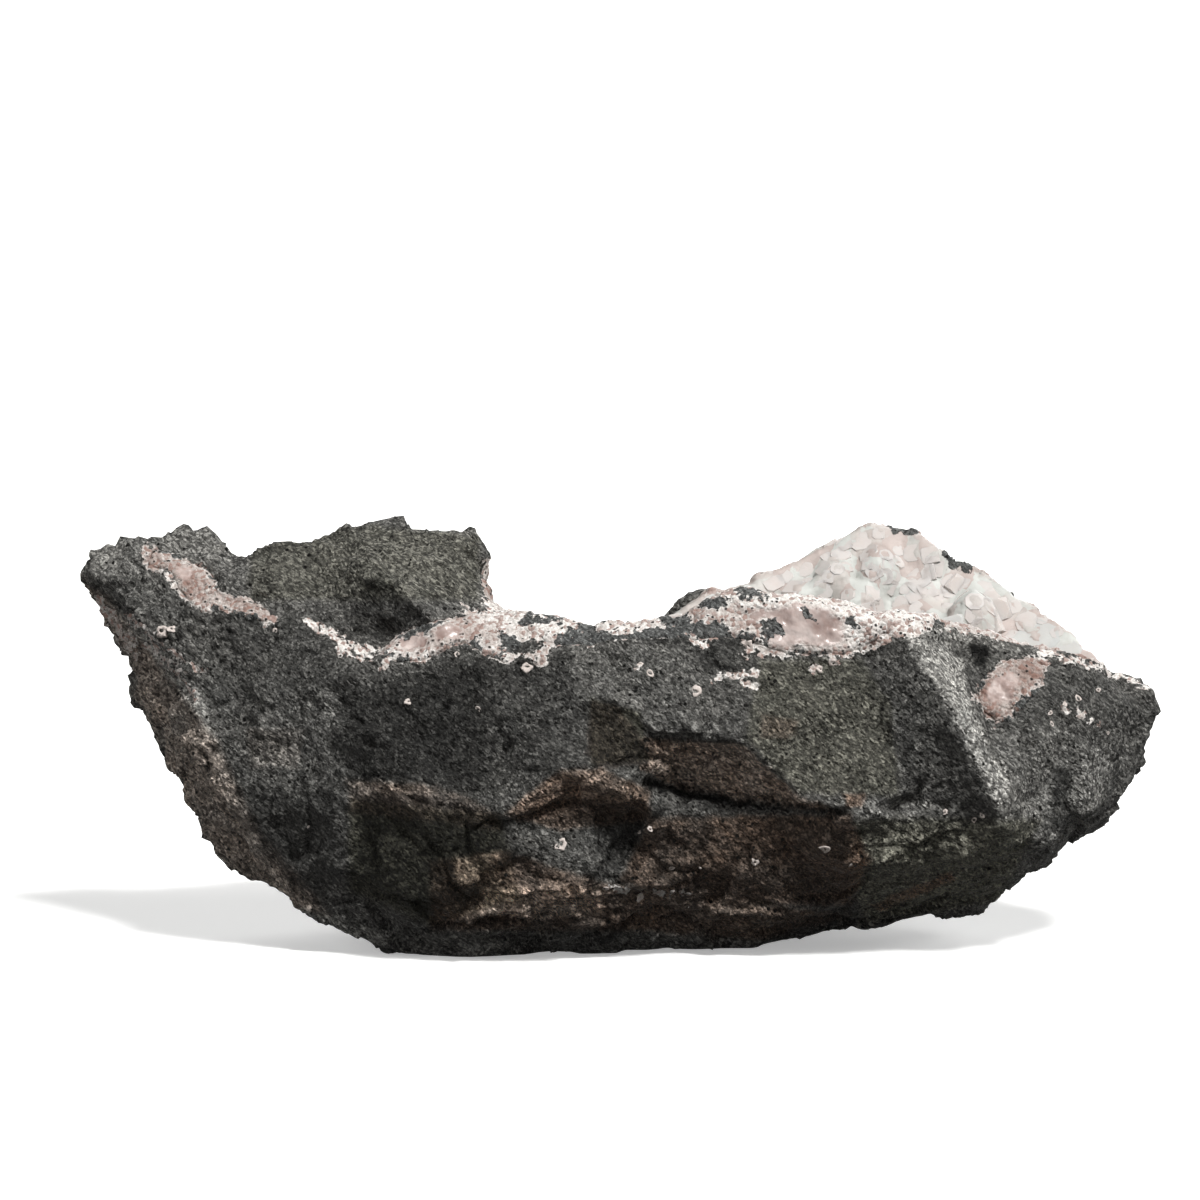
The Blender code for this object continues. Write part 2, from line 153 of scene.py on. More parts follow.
def inside(steps, outline):
    """How deep each step lies inside the outline. It is negative outside."""
    away = to_line(steps, outline + outline[:1])[0]
    odd = np.zeros(len(steps), bool)
    for (x0, y0), (x1, y1) in zip(outline, outline[1:] + outline[:1]):
        if y0 == y1:
            continue
        crosses = (steps[:, 1] < y0) != (steps[:, 1] < y1)
        odd ^= crosses & (steps[:, 0] < x0 + (steps[:, 1] - y0) * (x1 - x0) / (y1 - y0))
    return np.where(odd, away, -away)


def near(steps, points, reach):
    """The indices of the steps within reach of the points' box."""
    points = np.array(points, float)
    low, high = points.min(0) - reach, points.max(0) + reach
    return np.nonzero(((steps > low) & (steps < high)).all(1))[0]


def below(steps, line):
    """How many steps of the chart each one lies below a line that runs across it."""
    return steps[:, 1] - np.interp(steps[:, 0], *zip(*line))


# ---------------------------------------------------------------- meshes

def new_piece(name, bm):
    """A linked object that holds the bmesh. The bmesh is freed."""
    mesh = bpy.data.meshes.new(name)
    bm.to_mesh(mesh)
    bm.free()
    piece = bpy.data.objects.new(name, mesh)
    bpy.context.scene.collection.objects.link(piece)
    return piece


def settle(piece):
    """Applies the piece's modifiers to its mesh."""
    bpy.context.view_layer.update()
    graph = bpy.context.evaluated_depsgraph_get()
    shaped = bpy.data.meshes.new_from_object(piece.evaluated_get(graph))
    piece.modifiers.clear()
    piece.data = shaped


def merged_copy(node, name):
    """A new piece with the CAD node's shape, its loose triangles merged."""
    bm = bmesh.new()
    bm.from_mesh(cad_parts[node].data)
    bmesh.ops.remove_doubles(bm, verts=bm.verts, dist=1e-6)
    bmesh.ops.recalc_face_normals(bm, faces=bm.faces)
    return new_piece(name, bm)


def smooth(piece, times, group=""):
    """Evens out the piece, or its vertex group, that many times."""
    evener = piece.modifiers.new("smooth", "SMOOTH")
    evener.factor = 0.5
    evener.iterations = times
    evener.vertex_group = group


def refine(piece, voxel, smoothing):
    """Remeshes the piece evenly at that size and smooths it."""
    remesh = piece.modifiers.new("remesh", "REMESH")
    remesh.mode = "VOXEL"
    remesh.voxel_size = voxel
    smooth(piece, smoothing)
    settle(piece)


def mark(piece, name, chosen, weight=1.0):
    """Puts the chosen vertices in the piece's vertex group of that name."""
    group = piece.vertex_groups.get(name) or piece.vertex_groups.new(name=name)
    group.add(np.nonzero(chosen)[0].tolist(), weight, "REPLACE")


def thin_to(piece, triangles, group=""):
    """Takes triangles out of the piece, and most from the group, until that many are left."""
    piece.data.calc_loop_triangles()
    thin = piece.modifiers.new("thin", "DECIMATE")
    thin.ratio = min(1, triangles / len(piece.data.loop_triangles))
    thin.vertex_group = group
    settle(piece)


def places_of(piece):
    """Where the piece's vertices are."""
    places = np.empty(len(piece.data.vertices) * 3)
    piece.data.vertices.foreach_get("co", places)
    return places.reshape(-1, 3)


def normals_of(piece):
    """Which way each vertex faces."""
    normals = np.empty(len(piece.data.vertices) * 3)
    piece.data.vertex_normals.foreach_get("vector", normals)
    return normals.reshape(-1, 3)


def move_to(piece, places):
    """Moves the piece's vertices to those places."""
    piece.data.vertices.foreach_set("co", places.ravel())
    piece.data.update()


def keep(piece, name, values):
    """Stores one number a vertex for the material to read."""
    layer = piece.data.attributes.new(name, "FLOAT", "POINT")
    layer.data.foreach_set("value", values.astype(np.float32))


def smooth_shade(piece):
    """Shades the piece without edges between its faces."""
    piece.data.polygons.foreach_set("use_smooth", [True] * len(piece.data.polygons))


def wander(places, size, seed=0.0):
    """A smooth random direction at each place, that changes over that many metres."""
    shift = Vector((seed, seed * 0.7, -seed))
    return np.array([noise.noise_vector(Vector(p) / size + shift) for p in places])


def jagged(places, coarse, fine):
    """Shifts of the chart that make a drawn edge wander like a broken one."""
    return wander(places, 0.006)[:, :2] * coarse + wander(places, 0.0022, 9)[:, :2] * fine


def chips(places, size, tilt, grain=None):
    """Height of flat chips that meet at steps, each with its own slope."""
    half = Vector(HALF)
    heights = np.empty(len(places))
    squeeze = grain or Matrix.Identity(3)
    for i, place in enumerate(places):
        point = squeeze @ Vector(place) / size
        cell = noise.voronoi(point)[1][0]
        slope = noise.cell_vector(cell * CELL_SPREAD) - half
        heights[i] = (point - cell).dot(slope)
    return heights * tilt * size


def lumps(places, size, octaves=3):
    """Fractal height between about -1 and 1. Each octave is 2.1 times as fine."""
    return np.array([noise.fractal(Vector(p) / size, 0.8, 2.1, octaves) for p in places])


def crumbs(places, cover):
    """Height of the zeolite's own grains, in metres."""
    grains = np.array([1 - noise.voronoi(Vector(p) / GRAIN)[0][0] for p in places])
    return ramp(cover, 0.2, 0.9) * ((grains - 0.4) * 0.0016 + lumps(places, 0.005) * 0.0006)


def grain_along(across, up, deep, squeeze):
    """Squeezes space along one drawn direction, so that a pattern stretches that way."""
    way = (TURN @ Vector((across, deep, up))).normalized()
    line = Matrix([[way[i] * way[j] for j in range(3)] for i in range(3)])
    return Matrix.Identity(3) - line * (1 - 1 / squeeze)


# ---------------------------------------------------------------- the broken front

# Edges where the stone steps: points on the chart, then the height in millimetres by which
# the side right of the line stands out, and how far the step reaches.
STEPS = [
    ([(590, 700), (618, 704), (640, 722), (655, 735), (700, 738), (742, 742), (770, 768),
      (800, 795), (846, 812)], -3.0, 34),
    ([(366, 575), (395, 585), (437, 628)], -1.2, 40),
    ([(505, 810), (530, 790), (565, 770), (600, 768), (640, 790)], -2.4, 22),
    ([(500, 822), (560, 802), (600, 806), (645, 820)], -2.6, 22),
    ([(600, 806), (615, 835), (640, 868)], -1.8, 20),
    ([(350, 800), (395, 790), (430, 800), (480, 812), (512, 812)], -1.8, 18),
    ([(320, 690), (355, 682), (385, 661)], -1.4, 16),
    ([(262, 590), (276, 582), (300, 612)], 1.4, 12),
    ([(205, 560), (222, 575), (215, 600)], -1.4, 12),
    ([(490, 872), (520, 855), (560, 845)], -1.8, 16),
    ([(590, 872), (640, 882), (690, 890)], -1.6, 16),
    ([(480, 900), (540, 893), (600, 890)], 1.6, 12),
    ([(850, 808), (880, 800), (925, 800), (975, 806)], -1.2, 14),
    ([(872, 905), (905, 893), (950, 875)], 1.2, 12),
    ([(970, 665), (968, 643), (990, 645), (985, 668)], 2.0, 10),
    ([(905, 629), (935, 640), (975, 640), (1010, 648), (1040, 655)], -1.2, 9),
    ([(640, 712), (650, 728), (665, 726), (680, 734), (692, 750)], 1.1, 9),
    ([(610, 764), (650, 765), (690, 772)], 1.4, 12),
    ([(440, 560), (448, 590), (460, 612)], -1.0, 12),
    ([(455, 690), (462, 730), (458, 760)], 0.9, 12),
    ([(345, 690), (352, 730), (345, 780)], -0.9, 14),
    ([(1056, 765), (1050, 800), (1050, 835)], -1.4, 12),
    ([(1072, 772), (1066, 800), (1066, 832)], 1.6, 12),
    ([(1100, 690), (1112, 740), (1100, 800)], -1.0, 14),
    ([(235, 700), (262, 735), (300, 745)], -1.1, 14),
    ([(250, 745), (300, 742)], 1.2, 10),
    ([(270, 545), (320, 560), (345, 600)], -0.9, 12),
    ([(150, 690), (200, 700), (235, 790)], 1.4, 12),
    ([(520, 700), (560, 735), (610, 764)], -0.8, 14),
    ([(560, 655), (575, 700), (590, 702)], 0.9, 10),
    ([(690, 625), (712, 640), (718, 668)], -1.2, 10),
]

# Crests that stand out along a line: points, height in millimetres, half width in steps.
CRESTS = [
    ([(905, 642), (918, 662), (935, 684), (950, 714), (975, 762), (992, 790), (1008, 830)],
     6.0, 34),
    ([(345, 525), (375, 560), (366, 575)], 1.4, 14),
    ([(310, 690), (355, 678), (388, 658)], 1.4, 10),
    ([(190, 692), (216, 745), (236, 800), (262, 850), (300, 898), (400, 945)], 2.2, 24),
    ([(500, 815), (560, 772), (600, 772), (650, 803)], 2.0, 14),
    ([(853, 655), (870, 690), (890, 722), (915, 750)], 0.9, 6),
    ([(742, 742), (770, 768), (800, 795), (846, 812)], 1.6, 10),
    ([(60, 580), (110, 640), (150, 690), (215, 745)], 1.4, 9),
    ([(130, 620), (175, 655), (215, 690)], 1.4, 6),
    ([(120, 655), (165, 690), (200, 740), (225, 790)], 1.2, 6),
    ([(150, 640), (180, 668), (200, 700)], 1.1, 5),
    ([(170, 740), (200, 800), (240, 860)], 1.2, 7),
    ([(440, 925), (480, 908), (540, 912)], 1.6, 8),
    ([(600, 905), (650, 898), (720, 910), (790, 905)], 1.4, 7),
    ([(500, 892), (560, 886), (600, 884)], 1.6, 9),
]

# Cracks and gaps: points, depth in millimetres, half width in steps.
CRACKS = [
    ([(645, 781), (690, 790), (741, 802), (800, 809), (848, 812)], 5.0, 8),
    ([(610, 764), (640, 757), (690, 768)], 1.4, 3),
    ([(702, 697), (701, 715), (702, 737)], 1.8, 2.5),
    ([(422, 932), (460, 921), (500, 919), (560, 919)], 5.0, 6),
    ([(580, 944), (605, 934), (640, 914)], 5.0, 8),
    ([(640, 800), (630, 840), (612, 870)], 3.4, 12),
    ([(975, 645), (981, 664)], 4.0, 8),
    ([(976, 672), (979, 682)], 2.6, 4),
    ([(880, 820), (905, 833)], 1.8, 2.5),
    ([(650, 636), (678, 639)], 3.0, 4.5),
    ([(300, 612), (330, 622), (345, 640)], 1.4, 4),
    ([(380, 787), (420, 790)], 1.8, 4),
    ([(370, 555), (400, 561)], 1.4, 2.2),
    ([(455, 838), (440, 842), (418, 836)], 1.4, 2.4),
    ([(650, 905), (690, 925), (640, 925)], 3.0, 6),
    ([(750, 915), (790, 912), (780, 935)], 2.0, 4),
    ([(470, 826), (530, 818), (560, 808)], 2.2, 4),
]

# Patches of the front where the stone's colour is lighter (over 1) or darker: outline, tone,
# edge.
# Mostly painted light and shade: lit facets, ridges and ledges are painted lighter, and the
# shaded facet, cracks, notch and undersides are painted darker. Partly the stone's own tone.
TONE_AND_PAINTED_LIGHT = [
    ([(80, 545), (160, 527), (225, 530), (245, 560), (215, 575), (120, 590), (85, 575)], 1.8, 6),
    ([(95, 585), (170, 570), (205, 605), (240, 620), (190, 690), (140, 650)], 1.15, 6),
    ([(245, 560), (290, 543), (345, 528), (372, 560), (360, 600), (300, 612), (270, 600),
      (225, 595), (225, 575)], 1.2, 4),
    ([(345, 525), (470, 532), (487, 610), (460, 615), (437, 628), (405, 598), (366, 575),
      (372, 560)], 1.35, 4),
    ([(366, 575), (385, 580), (405, 598), (430, 620), (438, 628), (405, 641), (375, 641),
      (348, 628), (345, 614), (362, 600)], 0.48, 2),
    ([(225, 615), (345, 625), (380, 660), (345, 690), (300, 700), (240, 690), (205, 640)],
     0.8, 14),
    ([(250, 700), (340, 690), (330, 740), (300, 745), (262, 735)], 1.35, 6),
    ([(255, 752), (300, 744), (300, 768), (258, 768)], 1.9, 3),
    ([(340, 690), (480, 660), (500, 700), (490, 790), (350, 785)], 0.34, 26),
    ([(480, 655), (560, 650), (590, 700), (585, 760), (520, 790), (490, 760)], 0.62, 18),
    ([(570, 640), (690, 640), (700, 690), (740, 740), (655, 735), (618, 704), (575, 695)],
     1.25, 4),
    ([(590, 702), (618, 706), (640, 735), (650, 762), (600, 770), (585, 755)], 0.38, 3),
    ([(648, 640), (690, 622), (760, 640), (755, 668), (720, 672), (690, 650)], 0.62, 5),
    ([(700, 650), (718, 650), (718, 668), (702, 668)], 0.45, 2),
    ([(760, 657), (848, 657), (880, 700), (900, 800), (848, 812), (800, 795), (770, 768),
      (742, 740), (762, 715), (752, 690)], 1.15, 3),
    ([(848, 657), (905, 642), (920, 664), (938, 688), (958, 728), (990, 790), (985, 805),
      (900, 800), (895, 750), (870, 700)], 0.84, 5),
    ([(905, 632), (925, 636), (950, 650), (962, 660), (968, 690), (985, 735), (1012, 775),
      (1012, 826), (1002, 826), (985, 782), (958, 726), (944, 698), (935, 683), (918, 664)],
     3.3, 2),
    ([(905, 628), (925, 620), (950, 627), (1000, 637), (1040, 652), (1000, 650), (970, 642),
      (950, 652), (925, 640)], 2.2, 3),
    ([(968, 642), (990, 645), (986, 668), (974, 666)], 0.12, 2),
    ([(985, 735), (1050, 725), (1100, 745), (1105, 800), (1080, 830), (1020, 820),
      (1010, 775)], 1.5, 8),
    ([(1050, 662), (1147, 687), (1150, 720), (1100, 745), (1060, 728), (1032, 708)], 0.95, 4),
    ([(1056, 765), (1072, 774), (1068, 800), (1066, 832), (1050, 836), (1050, 800)], 0.55, 2),
    ([(1072, 772), (1098, 745), (1112, 760), (1100, 800), (1080, 832), (1066, 832)], 1.9, 3),
    ([(850, 800), (930, 798), (935, 815), (905, 835), (870, 830), (850, 815)], 1.7, 3),
    ([(1000, 795), (1050, 795), (1050, 818), (1012, 828)], 1.7, 4),
    ([(655, 742), (742, 744), (770, 770), (800, 797), (840, 811), (741, 800), (690, 786),
      (645, 775)], 3.2, 3),
    ([(600, 800), (645, 806), (640, 868), (606, 872), (590, 830)], 0.5, 4),
    ([(645, 778), (690, 789), (741, 799), (848, 810), (848, 815), (741, 807), (690, 799),
      (648, 790)], 0.15, 2),
    ([(425, 932), (460, 920), (500, 917), (558, 919), (500, 922), (462, 924)], 0.2, 2),
    ([(582, 946), (606, 936), (640, 914), (648, 922), (610, 942)], 0.2, 2),
    ([(355, 803), (500, 818), (520, 855), (480, 895), (430, 925), (350, 890)], 0.27, 22),
    ([(655, 815), (850, 815), (860, 905), (700, 905), (650, 880)], 0.75, 12),
    ([(850, 835), (1000, 830), (1060, 835), (1000, 905), (860, 925)], 2.6, 16),
    ([(505, 815), (530, 792), (565, 770), (600, 768), (650, 803), (610, 803), (560, 798)],
     2.0, 3),
    ([(482, 889), (560, 886), (606, 889), (602, 910), (545, 920), (482, 913)], 4.4, 8),
    ([(455, 860), (500, 850), (500, 885), (460, 885)], 1.8, 4),
    ([(400, 935), (520, 922), (560, 930), (500, 965), (400, 960)], 1.6, 5),
    ([(640, 880), (760, 905), (790, 905), (760, 945), (600, 955), (640, 915)], 1.6, 5),
    ([(345, 780), (430, 785), (440, 800), (400, 792), (350, 806)], 2.0, 3),
    ([(85, 585), (130, 620), (200, 690), (236, 800), (300, 898), (400, 945), (350, 940),
      (200, 850), (120, 700)], 2.8, 9),
    ([(240, 790), (340, 790), (345, 880), (310, 895), (262, 850)], 0.5, 20),
]

# Brown earth stains: outline, strength, edge.
STAINS = [
    ([(655, 738), (742, 744), (770, 770), (800, 797), (846, 812), (741, 802), (679, 788),
      (640, 770), (640, 740)], 0.75, 4),
    ([(590, 702), (618, 706), (640, 735), (650, 762), (600, 770), (585, 755)], 0.45, 4),
    ([(505, 815), (530, 792), (560, 770), (600, 768), (650, 790), (650, 820), (560, 830)],
     0.9, 6),
    ([(650, 818), (850, 814), (870, 860), (850, 905), (690, 905), (620, 880)], 0.95, 8),
    ([(430, 862), (500, 850), (610, 884), (760, 905), (850, 915), (760, 940), (640, 930),
      (430, 930)], 0.8, 8),
    ([(345, 780), (440, 785), (500, 815), (500, 830), (350, 812)], 0.6, 8),
    ([(60, 560), (110, 600), (215, 740), (260, 830), (330, 915), (250, 900), (190, 820)],
     0.5, 10),
    ([(245, 728), (305, 728), (300, 768), (250, 768)], 0.25, 5),
    ([(760, 715), (800, 720), (790, 740), (762, 738)], 0.5, 5),
    ([(845, 795), (865, 795), (862, 808), (846, 806)], 1.0, 3),
    ([(870, 905), (905, 890), (950, 872), (955, 880), (880, 912)], 0.8, 4),
]

# Greenish, olive stone.
OLIVES = [
    ([(350, 800), (500, 815), (520, 900), (430, 925), (350, 890)], 1.0, 10),
    ([(590, 700), (640, 712), (650, 760), (590, 765)], 0.9, 5),
    ([(250, 545), (345, 525), (480, 535), (480, 600), (380, 600), (250, 600)], 0.6, 10),
    ([(850, 820), (1040, 820), (1000, 900), (860, 925)], 0.8, 10),
    ([(760, 660), (860, 660), (890, 700), (900, 795), (800, 795), (745, 740)], 0.7, 8),
]

# How many steps the far rim of the hollow stands above the drawn block, along the chart.
FAR_RISE = [
    (650, 8), (690, 6), (710, 2), (730, 4), (750, -4), (770, -8), (800, -5), (830, 3), (850, 12),
    (870, 16), (890, 12), (930, 8), (970, 13), (990, 6), (1030, 2), (1060, 8), (1090, 12),
    (1110, 3), (1150, 0),
]
# The far rim as it then shows, and the near rim.
FAR_RIM = [
    (480, 640), (600, 634), (650, 618), (690, 600), (750, 577), (790, 564), (830, 541),
    (878, 521), (910, 529), (950, 555), (1010, 591), (1050, 619), (1110, 661), (1150, 690),
]
NEAR_RIM = [(480, 627), (640, 624), (700, 608), (820, 610), (870, 624), (905, 640), (1150, 702)]
# Dark stone that is left on the far rim.
FAR_STONES = [
    [(886, 522), (920, 528), (916, 538), (892, 537)],
    [(941, 548), (976, 558), (972, 572), (948, 567)],
    [(1076, 636), (1100, 652), (1097, 667), (1082, 656)],
]

# Zeolite on the front: the hollow's broken crust, and the tongue of it under the left block.
BANDS = [
    [(383, 660), (380, 672), (388, 668), (395, 656), (405, 659), (425, 656), (440, 653),
     (447, 645), (460, 642), (478, 642), (486, 652), (500, 655), (508, 662), (520, 656),
     (530, 660), (540, 669), (547, 662), (549, 650), (556, 644), (565, 637), (575, 632),
     (590, 634), (610, 633), (630, 637), (640, 636), (652, 630), (664, 625), (672, 614),
     (684, 612), (688, 620), (700, 624), (712, 622), (722, 627), (732, 636), (740, 631),
     (748, 634), (756, 638), (761, 655), (775, 654), (790, 657), (797, 650), (806, 655),
     (822, 654), (845, 658), (852, 659), (856, 652), (870, 650), (885, 643), (900, 637),
     (918, 640), (935, 628), (935, 560), (480, 560), (486, 612), (470, 608), (462, 602),
     (466, 618), (445, 621), (432, 628), (420, 637), (400, 641), (388, 650)],
]

# Zeolite seams: points, half width in steps, paleness.
SEAMS = [
    ([(148, 548), (153, 563), (168, 565), (182, 578), (196, 592), (206, 608)], 4.5, 0.4),
    ([(160, 562), (195, 566), (208, 580), (214, 592)], 4.5, 0.4),
    ([(208, 600), (225, 597), (240, 604), (255, 608), (268, 618)], 6.5, 0.25),
    ([(172, 580), (184, 596), (202, 608)], 4, 0.4),
    ([(148, 552), (146, 566)], 2.5, 0.4),
    ([(306, 622), (322, 630), (338, 640), (352, 648), (382, 652)], 3.6, 1.0),
    ([(322, 630), (334, 634), (344, 644)], 4.5, 1.0),
    ([(340, 650), (372, 660)], 3, 0.9),
    ([(98, 600), (118, 630), (135, 655)], 4, 0.2),
    ([(128, 615), (165, 648), (205, 672)], 2.2, 0.3),
    ([(122, 630), (160, 655), (192, 690)], 2.2, 0.3),
    ([(150, 640), (180, 672), (196, 700)], 1.8, 0.4),
    ([(715, 680), (735, 675), (757, 673)], 4, 0.7),
    ([(746, 684), (756, 684)], 3.5, 1.0),
    ([(692, 640), (702, 646)], 4, 0.7),
    ([(610, 888), (625, 890)], 3, 0.7),
    ([(652, 893), (690, 893)], 1.5, 0.6),
    ([(811, 669), (815, 668)], 3, 0.4),
    ([(829, 662), (834, 662)], 3.5, 0.4),
    ([(636, 666), (643, 664)], 2.2, 0.8),
    ([(745, 655), (760, 642)], 2.5, 0.6),
    ([(1078, 712), (1092, 722)], 2, 0.9),
    ([(905, 632), (950, 628), (1000, 637)], 1.5, 0.9),
    ([(1040, 651), (1100, 668), (1147, 686)], 3.5, 1.0),
    ([(1060, 703), (1068, 712)], 1.5, 0.9),
    ([(996, 719), (1012, 716)], 1.5, 0.9),
]

# Grey stone that shows through the band.
ISLANDS = [
    [(735, 588), (752, 590), (768, 600), (742, 600)],
    [(762, 624), (780, 620), (784, 636), (764, 643)],
    [(498, 638), (520, 642), (545, 640), (538, 654), (505, 652)],
    [(700, 600), (732, 602), (728, 610), (700, 610)],
    [(648, 604), (690, 606), (676, 612), (664, 622), (650, 612)],
    [(565, 632), (590, 626), (600, 630), (580, 636)],
    [(520, 620), (560, 618), (565, 624), (522, 626)],
    [(600, 619), (636, 616), (636, 621), (602, 624)],
    [(800, 610), (812, 614), (816, 620), (802, 618)],
    [(690, 588), (720, 592), (700, 596)],
    [(845, 620), (852, 618), (856, 630), (848, 630)],
]
# The two druses, as they show. The left one is in two parts.
DRUSES = [
    [(1004, 659), (1012, 657), (1041, 655), (1050, 660), (1046, 669), (1041, 682), (1035, 688),
     (1028, 697), (1017, 703), (1016, 711), (1008, 719), (999, 727), (992, 724), (985, 713),
     (977, 704), (975, 696), (979, 684), (989, 672), (998, 663)],
    [(144, 552), (152, 546), (160, 552), (166, 556), (178, 562), (190, 563), (201, 566),
     (211, 573), (217, 583), (213, 592), (209, 600), (205, 614), (198, 607), (190, 601),
     (182, 591), (176, 581), (172, 574), (166, 571), (158, 572), (146, 570)],
    [(216, 590), (226, 597), (238, 598), (252, 605), (262, 609), (271, 612), (272, 621),
     (262, 621), (250, 616), (238, 612), (228, 611), (219, 606), (214, 599)],
]
# Where the zeolite is smooth and glassy.
GLASSY = [
    [(750, 612), (770, 610), (800, 606), (832, 612), (843, 622), (842, 640), (826, 647),
     (800, 645), (785, 649), (770, 646), (764, 636), (776, 628), (775, 620), (765, 618),
     (752, 622), (747, 617)],
    [(400, 640), (410, 634), (424, 637), (430, 646), (424, 652), (404, 651)],
    [(438, 632), (455, 628), (462, 634), (452, 641), (440, 640)],
    [(985, 690), (998, 678), (1012, 672), (1022, 680), (1010, 698), (996, 705), (985, 700)],
    [(178, 568), (190, 570), (194, 578), (186, 584), (178, 576)],
]
# Where it is off-white.
PALE = [
    [(480, 600), (735, 570), (935, 610), (935, 645), (905, 640), (860, 622), (800, 604),
     (760, 608), (735, 606), (690, 612), (640, 624), (560, 626), (500, 628), (480, 620)],
    [(845, 620), (862, 622), (862, 655), (848, 655)],
    [(500, 600), (640, 600), (650, 640), (560, 640), (500, 640)],
]

# Gas bubbles lined with pale zeolite: the middle of each on the chart, and its radius.
BUBBLES = [
    (197, 583, 9), (162, 631, 6), (171, 629, 5), (478, 709, 4), (527, 667, 6), (407, 702, 4),
    (640, 664, 3), (650, 673, 4), (696, 691, 6), (748, 645, 6), (820, 669, 4), (833, 663, 4),
    (1078, 698, 4), (1065, 704, 3), (1050, 713, 3), (1098, 690, 3), (1000, 718, 2),
    (1010, 717, 2), (1052, 724, 3), (825, 849, 6), (851, 865, 3), (755, 862, 4),
    (605, 889, 4), (640, 897, 5), (945, 812, 3), (982, 815, 4), (974, 820, 3), (650, 829, 3),
    (275, 631, 3), (400, 655, 3), (385, 668, 3), (457, 654, 3), (604, 627, 2), (640, 832, 3),
    (560, 845, 7), (1108, 733, 2), (700, 868, 2), (672, 868, 3), (308, 827, 2),
]


def on_front(deep, facing, low, high):
    """1 on the drawn front and 0 off it, by how far the places face it."""
    return ramp(facing, low, high) * (1 - ramp(deep, *FRONT_ENDS))


def front_relief(steps, deep, facing):
    """Height of the front's own edges, crests and cracks, in metres.

    Each line fades in and out over about 12 steps at its ends.
    """
    height = np.zeros(len(steps))
    for line, rise, reach in STEPS:
        at = near(steps, line, reach * 2.5)
        away, side, along, whole = to_line(steps[at], line)
        ends = ramp(along, 0, 12) * ramp(whole - along, 0, 12)
        height[at] += rise * 0.5 * side * ramp(away, 0, 3) * np.exp(-away / reach) * ends
    for line, rise, width in CRESTS:
        at = near(steps, line, width)
        away, _, along, whole = to_line(steps[at], line)
        ends = ramp(along, -8, 10) * ramp(whole - along, -8, 10)
        height[at] += rise * np.clip(1 - away / width, 0, 1) ** 1.15 * ends
    for line, depth, width in CRACKS:
        at = near(steps, line, width)
        away, _, along, whole = to_line(steps[at], line)
        ends = ramp(along, -3, 8) * ramp(whole - along, -3, 8)
        height[at] -= depth * (1 - ramp(away, width * 0.25, width)) * ends
    return height * on_front(deep, facing, -0.05, 0.25) * MM


def patches(steps, deep, facing, shapes, base):
    """One number a place: base, and each outline's own value inside it."""
    values = np.full(len(steps), float(base))
    front = on_front(deep, facing, -0.1, 0.2)
    for outline, value, edge in shapes:
        at = near(steps, outline, edge)
        cover = ramp(inside(steps[at], outline), -edge * 0.5, edge * 0.5) * front[at]
        values[at] += (value - values[at]) * cover
    return values


def zeolite_fields(steps, front, cover, pale):
    """How far each place lies within zeolite, over 0.5 inside, and how pale it is there.

    cover and pale are the values where nothing is drawn.
    """
    for outline in BANDS + DRUSES:
        at = near(steps, outline, 20)
        here = 0.5 + inside(steps[at], outline) / ZEOLITE_FALL
        cover[at] = np.maximum(cover[at], np.where(front[at] > 0.5, here, -1))
    for line, width, paleness in SEAMS:
        at = near(steps, line, width * 4)
        here = 0.5 + (width - to_line(steps[at], line)[0]) / ZEOLITE_FALL
        here = np.where(front[at] > 0.5, here, -1)
        pale[at] = np.where(here > np.maximum(cover[at], 0.3), paleness, pale[at])
        cover[at] = np.maximum(cover[at], here)
    for outline in ISLANDS:
        at = near(steps, outline, 10)
        here = 0.5 - inside(steps[at], outline) / ZEOLITE_FALL
        cover[at] = np.minimum(cover[at], np.where(front[at] > 0.5, here, 2))
    for outline in PALE:
        at = near(steps, outline, 10)
        share = ramp(inside(steps[at], outline), -4, 4) * (front[at] > 0.5)
        pale[at] += (0.95 - pale[at]) * share
    return np.clip(cover, -1, 2), pale


def glassy_field(steps, front):
    """How glassy the zeolite is at each place, from 0 to 1."""
    glassy = np.zeros(len(steps))
    for outline in GLASSY:
        at = near(steps, outline, 8)
        share = ramp(inside(steps[at], outline), -3, 3) * front[at]
        glassy[at] = np.maximum(glassy[at], share)
    return glassy


# ---------------------------------------------------------------- materials

def colour(code):
    """An sRGB hex colour as linear red, green, blue and alpha."""
    parts = [int(code[i:i + 2], 16) / 255 for i in (1, 3, 5)]
    return (*[p / 12.92 if p < 0.04045 else ((p + 0.055) / 1.055) ** 2.4 for p in parts], 1)


def feed(tree, node, feeds):
    """Sets each of the node's sockets, or links it to the node or socket that feeds it."""
    for name, value in feeds.items():
        if isinstance(value, bpy.types.Node):
            value = next(output for output in value.outputs if output.enabled)
        if isinstance(value, bpy.types.NodeSocket):
            tree.links.new(value, node.inputs[name])
        else:
            node.inputs[name].default_value = value


def add(tree, kind, feeds, **settings):
    """Adds a node of that kind to the tree, with its feeds and settings."""
    node = tree.nodes.new("ShaderNode" + kind)
    for name, value in settings.items():
        setattr(node, name, value)
    feed(tree, node, feeds)
    return node


def new_material(name):
    """A material, its tree, and its empty Principled surface."""
    material = bpy.data.materials.new(name)
    material.use_nodes = True
    return material, material.node_tree, material.node_tree.nodes["Principled BSDF"]


def dress(piece, material):
    """Gives the piece that material alone."""
    piece.data.materials.clear()
    piece.data.materials.append(material)


